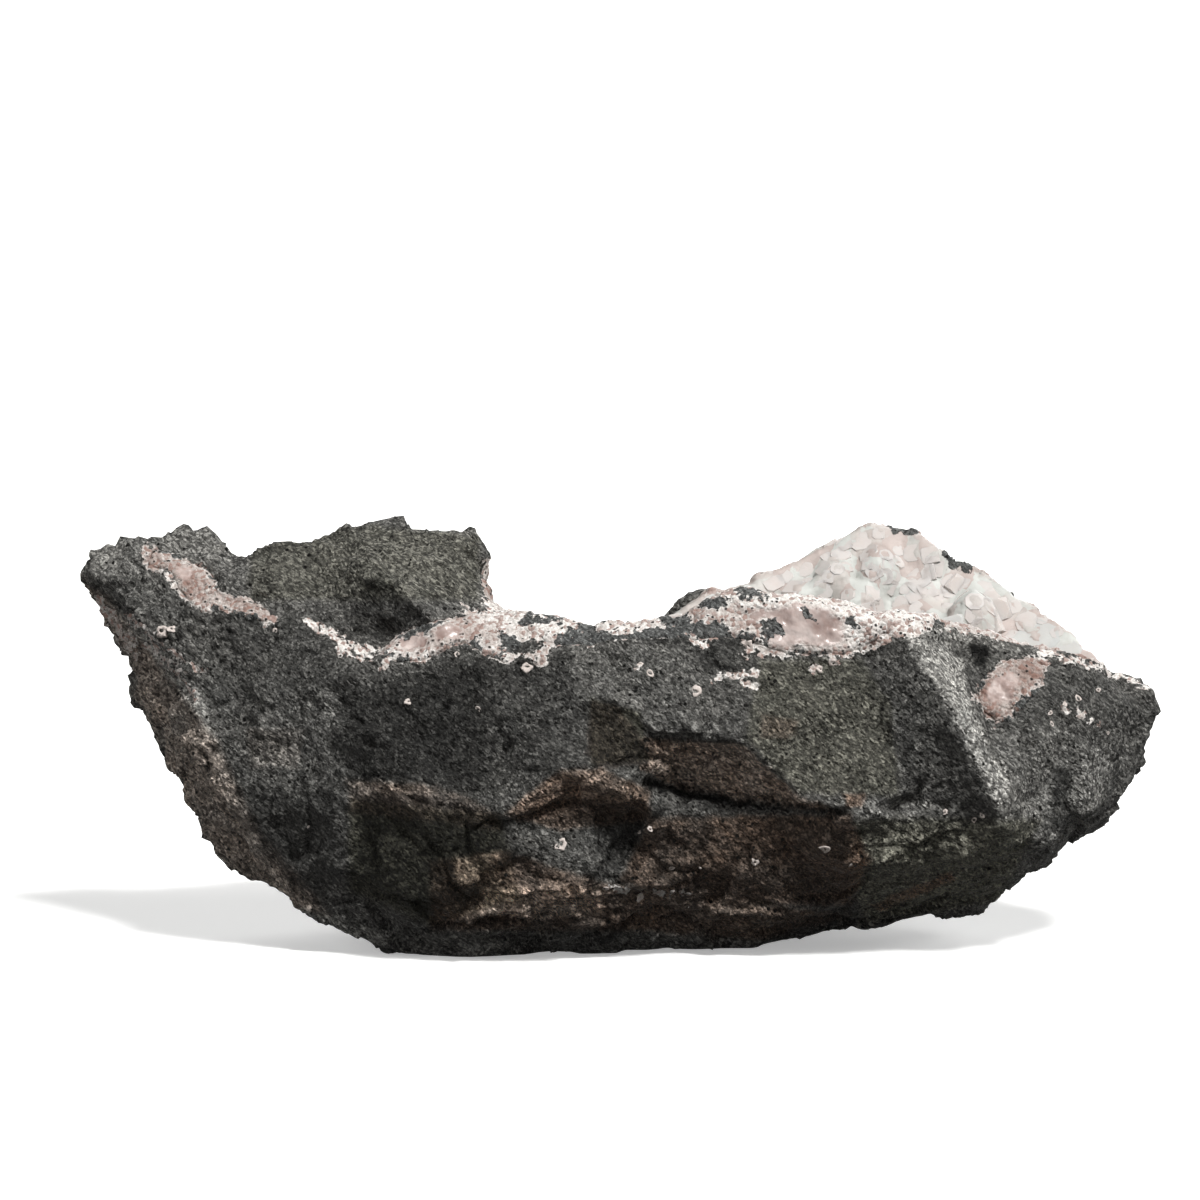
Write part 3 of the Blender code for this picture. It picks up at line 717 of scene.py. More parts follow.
def basalt_layer(tree, place, cloud, hackly):
    """The colour and the height in metres of hand-broken basalt.

    It is matt, dark grey and hackly, with sandy grains of about 1 mm and with pits. The grains
    and scabs are painted lighter where they stand proud, as light on their tops, and the pits
    are painted near black, as their shade. Earth stains its low parts.
    """
    tone_and_painted_light, stain, olive = (
        add(tree, "Attribute", {}, attribute_name=name).outputs["Fac"]
        for name in ("tone_and_painted_light", "stain", "olive")
    )
    grain = add(tree, "TexNoise",
                {"Vector": place, "Scale": 1 / 0.0010, "Detail": 2, "Roughness": 0.6})
    scab = add(tree, "TexNoise",
               {"Vector": place, "Scale": 1 / 0.0042, "Detail": 3, "Roughness": 0.6})
    # Splinters with frayed ends, and flat chips of about 3.2 mm. Each slopes its own way.
    blunt = add(tree, "TexNoise",
                {"Vector": hackly, "Scale": 1.1, "Detail": 2, "Roughness": 0.6})
    frayed = add(tree, "VectorMath", {0: blunt.outputs["Color"], 1: (0.9, 0.9, 0.9), 2: hackly},
                 operation="MULTIPLY_ADD")
    hackle = add(tree, "TexVoronoi", {"Vector": frayed, "Scale": 1})
    chip = add(tree, "TexVoronoi", {"Vector": place, "Scale": 1 / 0.0032})
    sloped = []
    for at, cell in ((frayed, hackle), (place, chip)):
        off = add(tree, "VectorMath", {0: at, 1: cell.outputs["Position"]},
                  operation="SUBTRACT")
        slope = add(tree, "VectorMath", {0: cell.outputs["Color"], 1: HALF},
                    operation="SUBTRACT")
        sloped.append(add(tree, "VectorMath", {0: off, 1: slope}, operation="DOT_PRODUCT"))
    # Pits of about 1 mm, in some stretches only. They dent the surface, and their shade is
    # painted near black.
    pit = add(tree, "TexVoronoi", {"Vector": place, "Scale": 1 / 0.0034})
    where = add(tree, "TexNoise", {"Vector": place, "Scale": 1 / 0.010})
    pits = add(tree, "MapRange", {0: pit.outputs["Distance"], 1: 0.30, 2: 0.16},
               interpolation_type="SMOOTHSTEP")
    pitted = add(tree, "MapRange", {0: where, 1: 0.46, 2: 0.60})
    dark_painted_pits = add(tree, "Math", {0: pits, 1: pitted}, operation="MULTIPLY")

    ground = add(tree, "Mix", {0: cloud, 6: colour("#424241"), 7: colour("#5e5f5d")},
                 data_type="RGBA")
    green = add(tree, "Mix", {0: olive, 6: ground, 7: colour("#e9e9d4")},
                data_type="RGBA", blend_type="MULTIPLY")
    mud = add(tree, "Math", {0: stain, 1: cloud}, operation="MULTIPLY")
    muddy = add(tree, "Math", {0: mud, 1: 1.7}, operation="MULTIPLY", use_clamp=True)
    brown = add(tree, "Mix", {0: muddy, 6: green, 7: colour("#5c4d42")}, data_type="RGBA")
    # How light the stone is at each grain, splinter, scab and patch of the front. Raised grains
    # and scabs are painted lighter, as painted light on their tops.
    light = add(tree, "MapRange", {0: grain, 1: 0.36, 2: 0.62, 3: 0.55, 4: 1.40})
    fleck = add(tree, "MapRange",
                {0: hackle.outputs["Color"], 1: 0.40, 2: 0.80, 3: 0.62, 4: 2.3})
    patchy = add(tree, "MapRange", {0: scab, 1: 0.36, 2: 0.64, 3: 0.78, 4: 1.22})
    # The front's patches paint light and shade into the colour here, besides the stone's own
    # tone.
    for share in (fleck, patchy, tone_and_painted_light):
        light = add(tree, "Math", {0: light, 1: share}, operation="MULTIPLY")
    lit = add(tree, "VectorMath", {0: brown, "Scale": light}, operation="SCALE")
    # Painted shade: the pits are coloured near black.
    stone = add(tree, "Mix", {0: dark_painted_pits, 6: lit, 7: colour("#100f0d")}, data_type="RGBA")

    height = add(tree, "Math", {0: sloped[0], 1: 0.0030}, operation="MULTIPLY")
    for part, rise in ((grain, 0.0015), (sloped[1], 1.0), (scab, 0.0026), (dark_painted_pits, -0.0007)):
        height = add(tree, "Math", {0: part, 1: rise, 2: height}, operation="MULTIPLY_ADD")
    return stone, height


def zeolite_layer(tree, place, cloud, hackly):
    """Zeolite, which is stilbite and heulandite: cover, colour, glassiness and grain height.

    Its grains are pink to off-white and about 1.7 mm wide, rusty or black here and there.
    Its edge is ragged and pale, and it is glassy where it is thick.
    """
    zeolite, pale, glassy = (
        add(tree, "Attribute", {}, attribute_name=name).outputs["Fac"]
        for name in ("zeolite", "pale", "glassy")
    )
    ragged = add(tree, "TexNoise",
                 {"Vector": place, "Scale": 1 / GRAIN, "Detail": 4, "Roughness": 0.6})
    rag = add(tree, "Math", {0: ragged, 1: 3.4, 2: -1.7}, operation="MULTIPLY_ADD")
    edge = add(tree, "Math", {0: zeolite, 1: rag}, operation="ADD")
    cover = add(tree, "MapRange", {0: edge, 1: 0.42, 2: 0.58}, interpolation_type="SMOOTHSTEP")
    seed = add(tree, "TexVoronoi", {"Vector": place, "Scale": 1 / 0.0017})
    sugar = add(tree, "TexNoise",
                {"Vector": place, "Scale": 1 / 0.0011, "Detail": 4, "Roughness": 0.7})
    spread = add(tree, "MapRange", {0: sugar, 1: 0.32, 2: 0.66})
    pink = add(tree, "Mix", {0: spread, 6: colour("#6b5850"), 7: colour("#9b8a82")},
               data_type="RGBA")
    white = add(tree, "Mix", {0: spread, 6: colour("#b5afa8"), 7: colour("#efebe6")},
                data_type="RGBA")
    drifted = add(tree, "Math", {0: cloud, 1: 2.0, 2: -1.0}, operation="MULTIPLY_ADD")
    mixed = add(tree, "Math", {0: pale, 1: drifted}, operation="ADD")
    lip = add(tree, "MapRange", {0: edge, 1: 0.5, 2: 1.1, 3: 0.6, 4: 0.0})
    paler = add(tree, "Math", {0: mixed, 1: lip}, operation="ADD", use_clamp=True)
    body = add(tree, "Mix", {0: paler, 6: pink, 7: white}, data_type="RGBA")
    rust = add(tree, "MapRange", {0: seed.outputs["Color"], 1: 0.58, 2: 0.74, 4: 0.75})
    rusty = add(tree, "Mix", {0: rust, 6: body, 7: colour("#84665b")}, data_type="RGBA")
    few = add(tree, "MapRange", {0: seed.outputs["Color"], 1: 0.28, 2: 0.24})
    small = add(tree, "MapRange", {0: seed.outputs["Distance"], 1: 0.46, 2: 0.30})
    dot = add(tree, "Math", {0: few, 1: small}, operation="MULTIPLY")
    coat = add(tree, "Mix", {0: dot, 6: rusty, 7: colour("#2b2522")}, data_type="RGBA")
    streak = add(tree, "TexNoise",
                 {"Vector": hackly, "Scale": 0.14, "Detail": 3, "Roughness": 0.5})
    veins = add(tree, "MapRange", {0: streak, 1: 0.30, 2: 0.72})
    clear = add(tree, "Mix", {0: veins, 6: colour("#7f6b64"), 7: colour("#bdb0aa")},
                data_type="RGBA")
    glazed = add(tree, "Mix", {0: glassy, 6: coat, 7: clear}, data_type="RGBA")
    round_grains = add(tree, "Math", {0: seed.outputs["Distance"], 1: -0.0010},
                       operation="MULTIPLY")
    crumb = add(tree, "Math", {0: sugar, 1: 0.0010, 2: round_grains},
                operation="MULTIPLY_ADD")
    return cover, glazed, glassy, crumb


def crystal_bed(tree, place):
    """The milky, pink to greenish white crust between the crystals.

    It shows the faces of crystals grown together, 9 mm wide, each in its own tint, and each
    painted darker toward its edges as shade where the faces meet.
    """
    veil = add(tree, "TexNoise",
               {"Vector": place, "Scale": 1 / 0.009, "Detail": 4, "Roughness": 0.55})
    bent = add(tree, "VectorMath", {0: veil.outputs["Color"], 1: (0.006, 0.006, 0.006), 2: place},
               operation="MULTIPLY_ADD")
    face = add(tree, "TexVoronoi", {"Vector": bent, "Scale": 1 / 0.009})
    both = add(tree, "Mix", {0: 0.55, 6: veil.outputs["Color"], 7: face.outputs["Color"]},
               data_type="RGBA")
    veiled = add(tree, "MapRange", {0: both, 1: 0.38, 2: 0.62})
    milky = add(tree, "Mix", {0: veiled, 6: colour("#a69a94"), 7: colour("#b0b1ac")},
                data_type="RGBA")
    # Painted shade: each face is darker toward its edges, where the faces meet.
    shade = add(tree, "MapRange", {0: face.outputs["Distance"], 1: 0.2, 2: 0.8, 3: 1.05, 4: 0.92})
    return add(tree, "VectorMath", {0: milky, "Scale": shade}, operation="SCALE")


def stone_and_zeolite(name, inside_hollow):
    """Hand-broken basalt, the zeolite over its edges and, in the hollow, the crystals' bed."""
    material, tree, surface = new_material(name)
    place = add(tree, "TexCoord", {}).outputs["Object"]
    cloud = add(tree, "TexNoise",
                {"Vector": place, "Scale": 1 / 0.020, "Detail": 6, "Roughness": 0.62})
    # Small hackles that run down to the right: splinters 1.7 mm long and 0.8 mm wide.
    turned = add(tree, "Mapping", {"Vector": place, "Rotation": (0, math.radians(48), 0)})
    hackly = add(tree, "Mapping",
                 {"Vector": turned, "Scale": (1 / 0.0008, 1 / 0.0009, 1 / 0.0017)})
    stone, stone_height = basalt_layer(tree, place, cloud, hackly)
    cover, coat, glassy, crumb = zeolite_layer(tree, place, cloud, hackly)
    smoothness = glassy
    if inside_hollow:
        inner = add(tree, "Attribute", {}, attribute_name="inner").outputs["Fac"]
        smoothness = add(tree, "Math", {0: glassy, 1: inner}, operation="MAXIMUM")
        coat = add(tree, "Mix", {0: inner, 6: coat, 7: crystal_bed(tree, place)},
                   data_type="RGBA")
    skin = add(tree, "Mix", {0: cover, 6: stone, 7: coat}, data_type="RGBA")
    calm = add(tree, "MapRange", {0: smoothness, 3: 1.0, 4: 0.12})
    calmer = add(tree, "Math", {0: crumb, 1: calm}, operation="MULTIPLY")
    crusted = add(tree, "Math", {0: calmer, 1: 0.0008}, operation="ADD")
    height = add(tree, "Mix", {0: cover, 2: stone_height, 3: crusted})
    dull = add(tree, "MapRange", {0: cover, 3: 0.88, 4: 0.55})
    wet = add(tree, "MapRange", {0: glassy, 3: 1.0, 4: 0.3})
    feed(tree, surface, {
        "Base Color": skin,
        "Normal": add(tree, "Bump", {"Strength": 1.0, "Distance": 1.0, "Height": height}),
        "Roughness": add(tree, "Math", {0: dull, 1: wet}, operation="MULTIPLY"),
        "Specular IOR Level": 0.35 if inside_hollow else 0.14,
    })
    return material


def apophyllite(name, clearness, tint, shade):
    """Apophyllite, a clear to milky mineral of IOR 1.535 with glassy faces.

    The eye sees through its faces to milky veils and the crust below, and bright glints.
    """
    material, tree, surface = new_material(name)
    place = add(tree, "TexCoord", {}).outputs["Object"]
    veil = add(tree, "TexNoise",
               {"Vector": place, "Scale": 1 / 0.009, "Detail": 5, "Roughness": 0.6})
    ripple = add(tree, "TexNoise", {"Vector": place, "Scale": 1 / 0.0022, "Detail": 2})
    feed(tree, surface, {
        "Base Color": add(tree, "Mix", {0: veil, 6: colour(shade), 7: colour(tint)},
                          data_type="RGBA"),
        "Roughness": add(tree, "MapRange", {0: veil, 1: 0.35, 2: 0.7, 3: 0.04, 4: 0.22}),
        "Normal": add(tree, "Bump", {"Strength": 0.25, "Distance": 0.0005, "Height": ripple}),
        "IOR": 1.535,
        "Transmission Weight": clearness,
        "Subsurface Weight": 0.3,
        "Subsurface Radius": (0.006, 0.005, 0.0045),
        "Subsurface Scale": 1.0,
    })
    return material


def pale_lining():
    """The chalky zeolite that lines gas bubbles: off-white, dull, faintly pink."""
    material, tree, surface = new_material("pale_lining")
    place = add(tree, "TexCoord", {}).outputs["Object"]
    grain = add(tree, "TexNoise",
                {"Vector": place, "Scale": 1 / 0.0012, "Detail": 4, "Roughness": 0.7})
    feed(tree, surface, {
        "Base Color": add(tree, "Mix", {0: grain, 6: colour("#85776f"), 7: colour("#ddd4cd")},
                          data_type="RGBA"),
        "Normal": add(tree, "Bump", {"Strength": 0.7, "Distance": 0.0005, "Height": grain}),
        "Roughness": 0.7,
    })
    return material


# ---------------------------------------------------------------- the stone

def distance_to(places, nodes, most):
    """How far each place is from the nearest of these CAD nodes, up to most metres."""
    away = np.full(len(places), most)
    for node in nodes:
        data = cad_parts[node].data
        tree = BVHTree.FromPolygons(
            [v.co for v in data.vertices], [p.vertices for p in data.polygons]
        )
        for i in near(places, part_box(node), most):
            hit = tree.find_nearest(Vector(places[i]), most)
            if hit[0] is not None:
                away[i] = min(away[i], hit[3])
    return away


def raise_rim(piece):
    """Lifts the hollow's far rim to its drawn line. The lift fades out down the wall."""
    places = places_of(piece)
    steps, deep = chart(places), drawn(places)[:, 1]
    rise = np.interp(steps[:, 0], *zip(*FAR_RISE)) * ramp(steps[:, 0], 640, 690)
    rise *= 1 - ramp(steps[:, 0], 1110, 1150)
    share = (1 - ramp(below(steps, FAR_RIM), 12, 75)) * ramp(deep, 92, 118)
    up = np.array(TURN.col[2])
    move_to(piece, places + (rise * share * CHART_STEP * MM)[:, None] * up)


def front_view(places, normals):
    """Each place's step of the chart, its depth, and how far it faces the front."""
    deep = drawn(places)[:, 1]
    return chart(places), deep, -(normals @ np.array(TURN.col[1]))


def fracture(places, steps, deep, facing):
    """Height of the stone's hackly fracture, in metres."""
    # The front's right half is flat facets, and the rest is rugged.
    calm = ramp(steps[:, 0], 420, 540) * ramp(facing, 0.0, 0.3) * (1 - ramp(deep, *FRONT_ENDS))
    calm *= 1 - ramp(steps[:, 1], 800, 850)
    loose = places + wander(places, 0.045) * 0.012
    hackle = grain_along(1, -0.9, 0.2, 1.7)
    middling = chips(loose, *MIDDLE_CHIPS, hackle) * (1 - 0.6 * calm)
    height = chips(loose, *BROAD_CHIPS) + middling
    height += chips(loose, *SMALL_CHIPS) * (1 - 0.5 * calm) + lumps(loose, 0.004, 4) * 0.0003
    # Streaks run down the left end, and torn ledges along the foot of the middle.
    streaks = places @ np.array(grain_along(1, -1.3, 0.3, 5.0))
    left_end = 1 - ramp(steps[:, 0], 190, 290)
    height += np.abs(lumps(streaks, 0.005, 2)) * (0.0005 + 0.0034 * left_end)
    ledges = places @ np.array(grain_along(1, 0.12, 0.1, 6.0))
    low_middle = ramp(steps[:, 0], 350, 420) * (1 - ramp(steps[:, 0], 780, 880))
    height += np.abs(lumps(ledges, 0.005, 2)) * 0.0022 * ramp(steps[:, 1], 850, 895) * low_middle
    height += front_relief(steps + jagged(places, 2.5, 1.5), deep, facing)
    return height


def zeolite_on_stone(places, steps, front):
    """The stone's zeolite fields, and the steps of the chart that they are drawn on."""
    ragged = steps + jagged(places, 4, 3)
    gap = distance_to(places, ["crystal_crust"], 0.008)
    cover, pale = zeolite_fields(
        ragged, front, 0.9 - gap / NEAR_CRUST, np.full(len(places), 0.4)
    )
    return cover, pale, ragged


def basalt_block(material):
    """The stone: the CAD block with its hackly fracture, its front's edges and cracks."""
    block = merged_copy("basalt_matrix", "basalt_block")
    refine(block, STONE_VOXEL, 6)
    raise_rim(block)
    places, normals = places_of(block), normals_of(block)
    steps, deep, facing = front_view(places, normals)
    front = on_front(deep, facing, -0.1, 0.1)
    height = fracture(places, steps, deep, facing)
    # The stone's own relief fades out where zeolite lies in it, and is halved under a coat.
    gap = distance_to(places, ["crystal_crust", "left_druse", "right_druse"], 0.006)
    height = height * ramp(gap, 0.0003, 0.003) + 0.0008 * (1 - ramp(gap, 0.001, 0.003))
    cover, _, _ = zeolite_on_stone(places, steps, front)
    height = height * (1 - 0.5 * ramp(cover, 0.2, 0.8)) + crumbs(places, cover)
    # Nothing is raised on the resting face, and nothing goes below it.
    places += normals * (height * ramp(places[:, 2], 0.0002, 0.004))[:, None]
    places[:, 2] = np.maximum(places[:, 2], 0)
    move_to(block, places)
    # The back gives up more of its triangles than the front.
    mark(block, "back", front > 0.5, 0.35)
    mark(block, "back", front <= 0.5)
    thin_to(block, STONE_TRIANGLES, "back")

    places, normals = places_of(block), normals_of(block)
    steps, deep, facing = front_view(places, normals)
    loose = steps + jagged(places, 2.5, 1.5)
    # The front's tone patches are mostly painted light and shade. Stains and olive are the
    # stone's own colour.
    for name, shapes, base in (
        ("tone_and_painted_light", TONE_AND_PAINTED_LIGHT, 1.0), ("stain", STAINS, 0.12), ("olive", OLIVES, 0.1)
    ):
        keep(block, name, patches(loose, deep, facing, shapes, base))
    front = on_front(deep, facing, -0.1, 0.1)
    cover, pale, ragged = zeolite_on_stone(places, steps, front)
    keep(block, "zeolite", cover)
    keep(block, "pale", pale)
    keep(block, "glassy", glassy_field(ragged, front))
    smooth_shade(block)
    dress(block, material)
    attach(block, "root")
    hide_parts("basalt_matrix")
    return block


# ---------------------------------------------------------------- the crust

# The mouth of the hollow from above, as across and deep.
MOUTH = [
    (-50, 36), (-34, 18), (-10, 15), (20, 14), (43, 12), (69, 9), (92, 13), (111, 30),
    (127, 46), (147, 56), (170, 67), (193, 78), (208, 92), (199, 108), (180, 127), (158, 143),
    (149, 150), (139, 145), (132, 150), (126, 158), (116, 158), (107, 163), (81, 160),
    (62, 156), (41, 152), (21, 148), (0, 144), (-26, 136), (-47, 120), (-51, 96), (-50, 62),
]


def even_far_wall(crust):
    """Smooths the far wall to the even sheet that its crystals, grown together, make."""
    places = places_of(crust)
    points, steps = drawn(places), chart(places)
    in_mouth = inside(points[:, :2], MOUTH) > 3
    even = (points[:, 1] > WALL_STARTS) & in_mouth & (below(steps, FAR_RIM) > 10)
    mark(crust, "wall", even)
    smooth(crust, 160, "wall")
    settle(crust)


def crust_piece(material):
    """The hollow's crust: grainy and broken at its rim, milky and lumpy inside."""
    crust = merged_copy("crystal_crust", "zeolite_crust")
    refine(crust, CRUST_VOXEL, 2)
    raise_rim(crust)
    even_far_wall(crust)
    places, normals = places_of(crust), normals_of(crust)
    points = drawn(places)
    steps, deep, facing = front_view(places, normals)
    ragged = steps + jagged(places, 4, 3)
    within = inside(points[:, :2], MOUTH)
    near_side = (deep < 72) & (within < 25)
    # The broken band that shows on the front is grainy, and the hollow's inside is smooth.
    band = np.zeros(len(places))
    for outline in BANDS:
        at = near(ragged, outline, 6)
        band[at] = ramp(inside(ragged[at], outline), -3, 3) * near_side[at]
    lip = np.where(deep < 72, 10, 0)
    by_rim = np.where(
        deep > 90, ramp(below(steps, FAR_RIM), -2, 5), ramp(within, 6 + lip, 12 + lip)
    )
    upward = normals[:, 2] + 0.4 * ramp(points[:, 1], 100, 120)
    inner = by_rim * ramp(upward, 0.0, 0.25) * (1 - band)
    height = crumbs(places, np.ones(len(places))) * (1 - 0.8 * inner) + COAT
    height += COAT * band
    height += (chips(places, *BROAD_FACETS) + chips(places, *SMALL_FACETS)) * inner
    move_to(crust, places + normals * height[:, None])

    front = near_side * (1 - ramp(inner, 0.3, 0.6))
    broken = (facing > 0.35) & (deep < 50) & (inner < 0.5)
    cover, pale = zeolite_fields(
        ragged, front, np.where(broken, 0.0, 1.5), np.full(len(places), 0.45)
    )
    for outline in FAR_STONES:
        at = near(ragged, outline, 6)
        here = 0.5 - inside(ragged[at], outline) / 4
        cover[at] = np.where(deep[at] > 110, np.minimum(cover[at], here), cover[at])
    keep(crust, "tone_and_painted_light", np.ones(len(places)))
    keep(crust, "inner", inner)
    keep(crust, "zeolite", cover)
    keep(crust, "glassy", glassy_field(ragged, front))
    keep(crust, "pale", pale)
    thin_to(crust, CRUST_TRIANGLES)
    smooth_shade(crust)
    dress(crust, material)
    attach(crust, "root")
    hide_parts("crystal_crust")
    return crust


# ---------------------------------------------------------------- the crystals

# Each kind: its name, how many, their widths in metres, by what share of its width a crystal
# stands proud, how far apart they are in widths, the seed, how clear, and its two tints.
CRYSTALS = [
    ("clear", 120, (0.010, 0.021), (0.12, 0.30), 0.33, 3, 0.2, "#d0d1cd", "#c3bfbb"),
    ("milky", 480, (0.005, 0.012), (0.10, 0.34), 0.27, 8, 0.1, "#cbc8c4", "#c1b5af"),
]
# A crystal's height for a width of 1, and how much is cut off its corners.
HABITS = [(0.9, 0.22), (1.1, 0.34), (1.0, 0.12)]


def crystal_shape(height, cut):
    """One apophyllite crystal a unit wide: a square prism whose corners are cut."""
    bm = bmesh.new()
    corners = bmesh.ops.create_cube(bm, size=1)["verts"]
    bmesh.ops.scale(bm, verts=corners, vec=(1, 1, height))
    bmesh.ops.bevel(
        bm, geom=corners, offset=cut, affect="VERTICES", segments=1, profile=0.5, material=-1
    )
    bmesh.ops.recalc_face_normals(bm, faces=bm.faces)
    mesh = bpy.data.meshes.new("crystal")
    bm.to_mesh(mesh)
    bm.free()
    return mesh


def room_for_crystals(places, normals, far):
    """How wide a crystal has room at each place, in millimetres. It is 0 where none grows."""
    points, steps = drawn(places), chart(places)
    rim_gap = np.where(far, 0.0, 11.0)
    within = inside(points[:, :2], MOUTH)
    turned_in = normals[:, 2] + 0.4 * ramp(points[:, 1], 100, 120)
    # None of the near side's crystals shows over the near rim.
    hidden = np.minimum((within - rim_gap) * 0.8, below(steps, NEAR_RIM) * CHART_STEP)
    room = np.where(far, below(steps, FAR_RIM) * CHART_STEP / 0.45, hidden / 0.55)
    bare = np.zeros(len(places), bool)
    for outline in FAR_STONES:
        bare |= inside(steps, outline) > -8
    return np.where((within > rim_gap) & (turned_in > 0.12) & ~bare, np.maximum(room, 0), 0)


def scattered_crystals(crust, taken, name, count, widths, proud, spacing, seed):
    """Crystals grown together over the crust's inner face, clear of those already taken.

    Each stands proud of it by a share of its width, and the far wall's are nearly flush.
    """
    draw = random.Random(seed)
    places, normals = places_of(crust), normals_of(crust)
    far = drawn(places)[:, 1] > 80
    room = room_for_crystals(places, normals, far)
    spots = np.nonzero(room > 0)[0]
    beds, bed_normals = places[spots], normals[spots]
    shapes = [(crystal_shape(tall, cut), tall) for tall, cut in HABITS]
    bm = bmesh.new()
    made, tries = 0, 0
    while made < count and tries < count * 80:
        tries += 1
        width = draw.triangular(*widths, widths[0] * 1.3)
        at = spots[draw.randrange(len(spots))]
        place = Vector(places[at])
        if room[at] < width / MM:
            continue
        apart = spacing * (1.35 if far[at] else 1.0)
        if any((place - p).length < (width + w) * apart for p, w in taken):
            continue
        flush = 0.1 if far[at] else 1.0
        beside = ((beds - places[at]) ** 2).sum(1) < (width * 0.6) ** 2
        upright = Vector(bed_normals[beside].mean(0)).normalized()
        if far[at]:
            # It shows over the near rim, so its face is all but level with its bed.
            middle = beds[beside].mean(0)
            rough = np.abs((beds[beside] - middle) @ np.array(upright)).max()
            if rough > width * 0.09:
                continue
            place = Vector(middle)
        lean = Vector([draw.uniform(-0.3, 0.3) for _ in range(3)]) * flush
        axis = (upright + lean).normalized()
        spin = Matrix.Rotation(draw.uniform(0, math.pi / 2), 3, "Z")
        stand = axis.to_track_quat("Z", "Y").to_matrix() @ spin
        shape, tall = draw.choice(shapes)
        sink = axis * width * (tall / 2 - draw.uniform(*proud) * flush)
        start = len(bm.verts)
        bm.from_mesh(shape)
        bm.verts.ensure_lookup_table()
        bmesh.ops.transform(
            bm, matrix=Matrix.Translation(place - sink) @ (stand * width).to_4x4(),
            verts=bm.verts[start:],
        )
        taken.append((place, width))
        made += 1
    return new_piece(name, bm)


# ---------------------------------------------------------------- small pieces

def druse_piece(node, name, material):
    """A small grainy druse that laps over the edge of its pocket."""
    druse = merged_copy(node, name)
    refine(druse, DRUSE_VOXEL, 2)
    places, normals = places_of(druse), normals_of(druse)
    everywhere = np.ones(len(places))
    height = crumbs(places, everywhere) + COAT
    move_to(druse, places + normals * height[:, None])
    ragged = chart(places) + jagged(places, 4, 3)
    cover, pale = zeolite_fields(
        ragged, everywhere, np.zeros(len(places)), np.full(len(places), 0.25)
    )
    keep(druse, "tone_and_painted_light", everywhere)
    keep(druse, "zeolite", cover)
    keep(druse, "pale", pale)
    keep(druse, "glassy", glassy_field(ragged, everywhere))
    smooth_shade(druse)
    dress(druse, material)
    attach(druse, "root")
    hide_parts(node)


def bubble_rims(block):
    """Ragged pale linings of the gas bubbles, each half sunk in the stone."""
    skin = BVHTree.FromObject(block, bpy.context.evaluated_depsgraph_get())
    eye = spot(MIDDLE[0], MIDDLE[1], CHART_DEPTH - REACH)
    draw = random.Random(5)
    bm = bmesh.new()
    for x, y, radius in BUBBLES:
        look = (chart_spot(x, y) - eye).normalized()
        place, normal, _, _ = skin.ray_cast(eye, look)
        if place is None:
            continue
        ring_radius = radius * CHART_STEP * MM * 0.62
        thick = ring_radius * draw.uniform(0.42, 0.62)
        start = len(bm.verts)
        ring = bmesh.ops.create_circle(bm, cap_ends=False, radius=thick, segments=8)["verts"]
        bmesh.ops.rotate(
            bm, verts=ring, cent=(0, 0, 0), matrix=Matrix.Rotation(math.pi / 2, 3, "X")
        )
        bmesh.ops.translate(bm, verts=ring, vec=(ring_radius, 0, 0))
        edges = list({edge for vert in ring for edge in vert.link_edges})
        bmesh.ops.spin(
            bm, geom=ring + edges, cent=(0, 0, 0), axis=(0, 0, 1), angle=math.tau, steps=20,
            use_merge=True, use_duplicate=False,
        )
        bm.verts.ensure_lookup_table()
        body = bm.verts[start:]
        shift = Vector((draw.uniform(0, 50), 0, 0))
        flat = draw.uniform(0.45, 0.7)
        for vert in body:
            rough = noise.noise_vector(vert.co / 0.0009 + shift)
            bent = noise.noise_vector(vert.co / (ring_radius * 1.6) + shift * 2)
            vert.co += rough * thick * 0.9 + bent * ring_radius * 0.7
            vert.co.z *= flat
        stand = normal.to_track_quat("Z", "Y").to_matrix().to_4x4()
        sunk = Matrix.Translation(place + normal * thick * 0.1)
        bmesh.ops.transform(bm, matrix=sunk @ stand, verts=body)
    bmesh.ops.recalc_face_normals(bm, faces=bm.faces)
    rims = new_piece("bubble_rims", bm)
    smooth_shade(rims)
    dress(rims, pale_lining())
    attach(rims, "root")


# ---------------------------------------------------------------- stage

# Suns: strength, angle across, tilt from overhead and turn, in degrees.
SUNS = {
    "key": (4.6, 12, 38, 28),
    "right": (1.0, 20, 58, 74),
    "left": (1.0, 40, 64, -66),
    "front": (0.45, 30, 82, -8),
    "back": (2.0, 40, 68, 160),
}


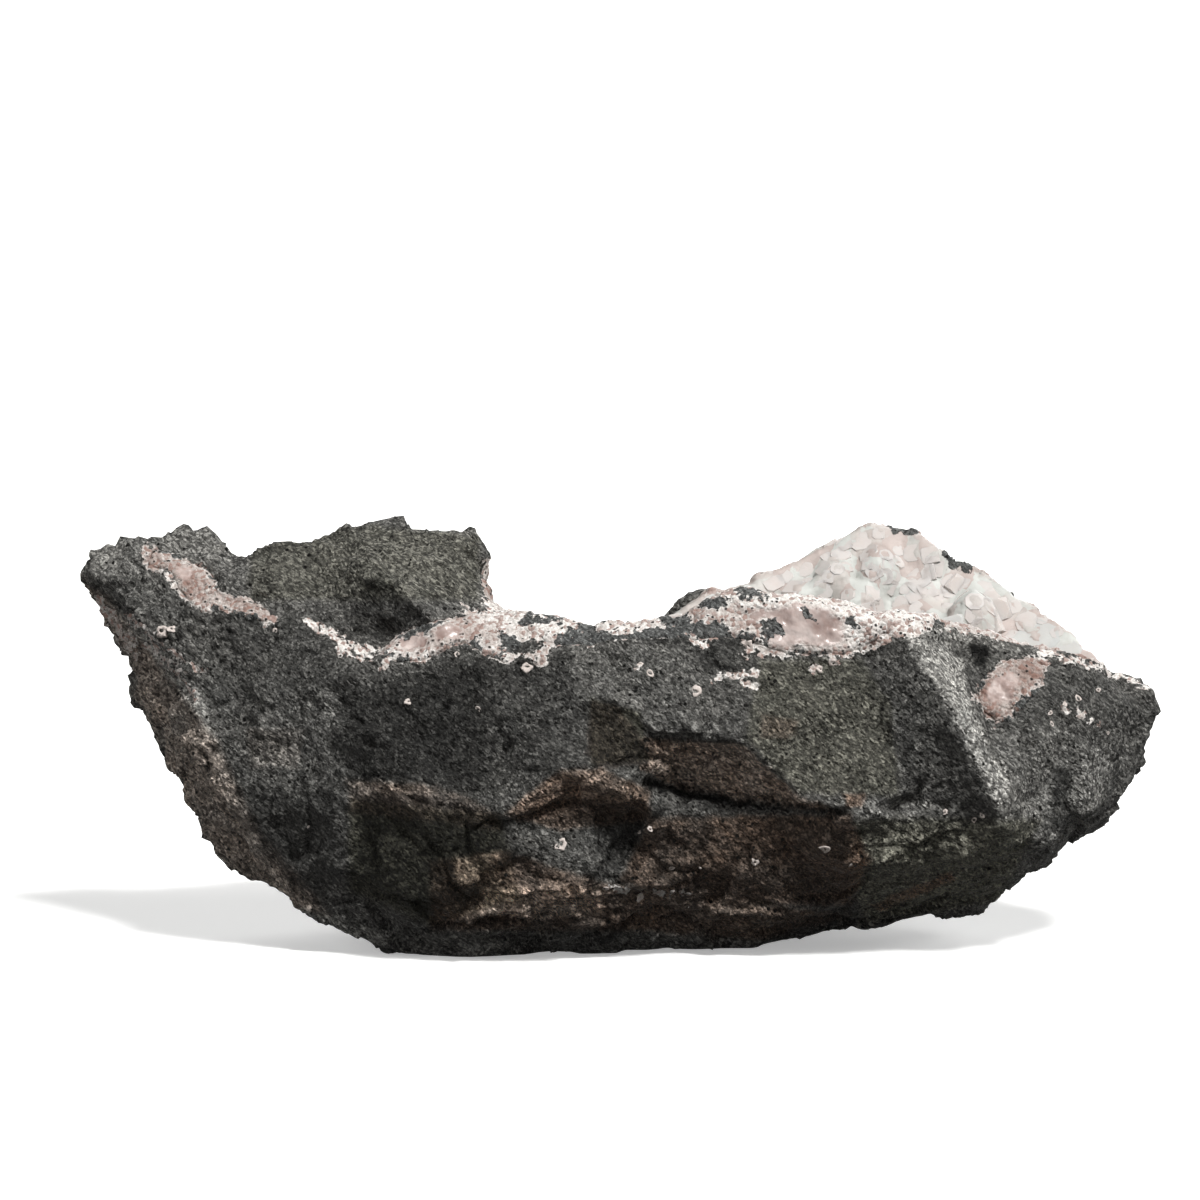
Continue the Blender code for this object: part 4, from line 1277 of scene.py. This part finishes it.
def stage():
    """A white paper floor under soft studio light."""
    bm = bmesh.new()
    bmesh.ops.create_grid(bm, x_segments=1, y_segments=1, size=40)
    floor = new_piece("paper_floor", bm)
    material, tree, surface = new_material("white_paper")
    # Lit from below as on a light table, so that the shadow stays faint.
    feed(tree, surface, {
        "Base Color": colour("#f3f3f1"), "Roughness": 0.9, "Specular IOR Level": 0.1,
        "Emission Color": colour("#ffffff"), "Emission Strength": 0.35,
    })
    dress(floor, material)
    # The paper throws no light back up, so the stone's undersides stay dark.
    floor.visible_diffuse = False

    world = bpy.data.worlds.new("studio")
    world.use_nodes = True
    tree = world.node_tree
    look = add(tree, "TexCoord", {}).outputs["Generated"]
    height = add(tree, "SeparateXYZ", {0: look}).outputs["Z"]
    above = add(tree, "MapRange", {0: height, 1: -0.3, 2: 0.7, 3: 0.10, 4: 0.50})
    feed(tree, tree.nodes["Background"], {"Strength": above})
    bpy.context.scene.world = world
    for name, (power, soft, tilt, turn) in SUNS.items():
        lamp = bpy.data.lights.new(name, "SUN")
        lamp.energy = power
        lamp.angle = math.radians(soft)
        light = bpy.data.objects.new(name, lamp)
        light.rotation_euler = (math.radians(tilt), 0, math.radians(turn))
        bpy.context.scene.collection.objects.link(light)


def chart_camera():
    """The camera that sees the chart straight on and whole."""
    camera = bpy.data.objects.new("camera", bpy.data.cameras.new("camera"))
    bpy.context.scene.collection.objects.link(camera)
    bpy.context.scene.camera = camera
    eye = spot(MIDDLE[0], MIDDLE[1], CHART_DEPTH - REACH)
    target = spot(MIDDLE[0], MIDDLE[1], CHART_DEPTH)
    camera.location = eye
    camera.rotation_euler = (target - eye).to_track_quat("-Z", "Y").to_euler()
    camera.data.sensor_width = 36
    camera.data.lens = camera.data.sensor_width * REACH / (CHART_STEPS * CHART_STEP)
    camera.data.clip_end = 200
    bpy.context.scene.view_settings.view_transform = "Standard"


def main():
    stage()
    chart_camera()
    stone = stone_and_zeolite("hackly_basalt", False)
    block = basalt_block(stone)
    crust = crust_piece(stone_and_zeolite("zeolite_crust", True))
    taken = []
    for kind, count, widths, proud, spacing, seed, clearness, tint, shade in CRYSTALS:
        crystals = scattered_crystals(
            crust, taken, f"{kind}_crystals", count, widths, proud, spacing, seed
        )
        dress(crystals, apophyllite(f"{kind}_apophyllite", clearness, tint, shade))
        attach(crystals, "root")
    druse_piece("left_druse", "left_pink_druse", stone)
    druse_piece("right_druse", "right_pink_druse", stone)
    bubble_rims(block)


main()
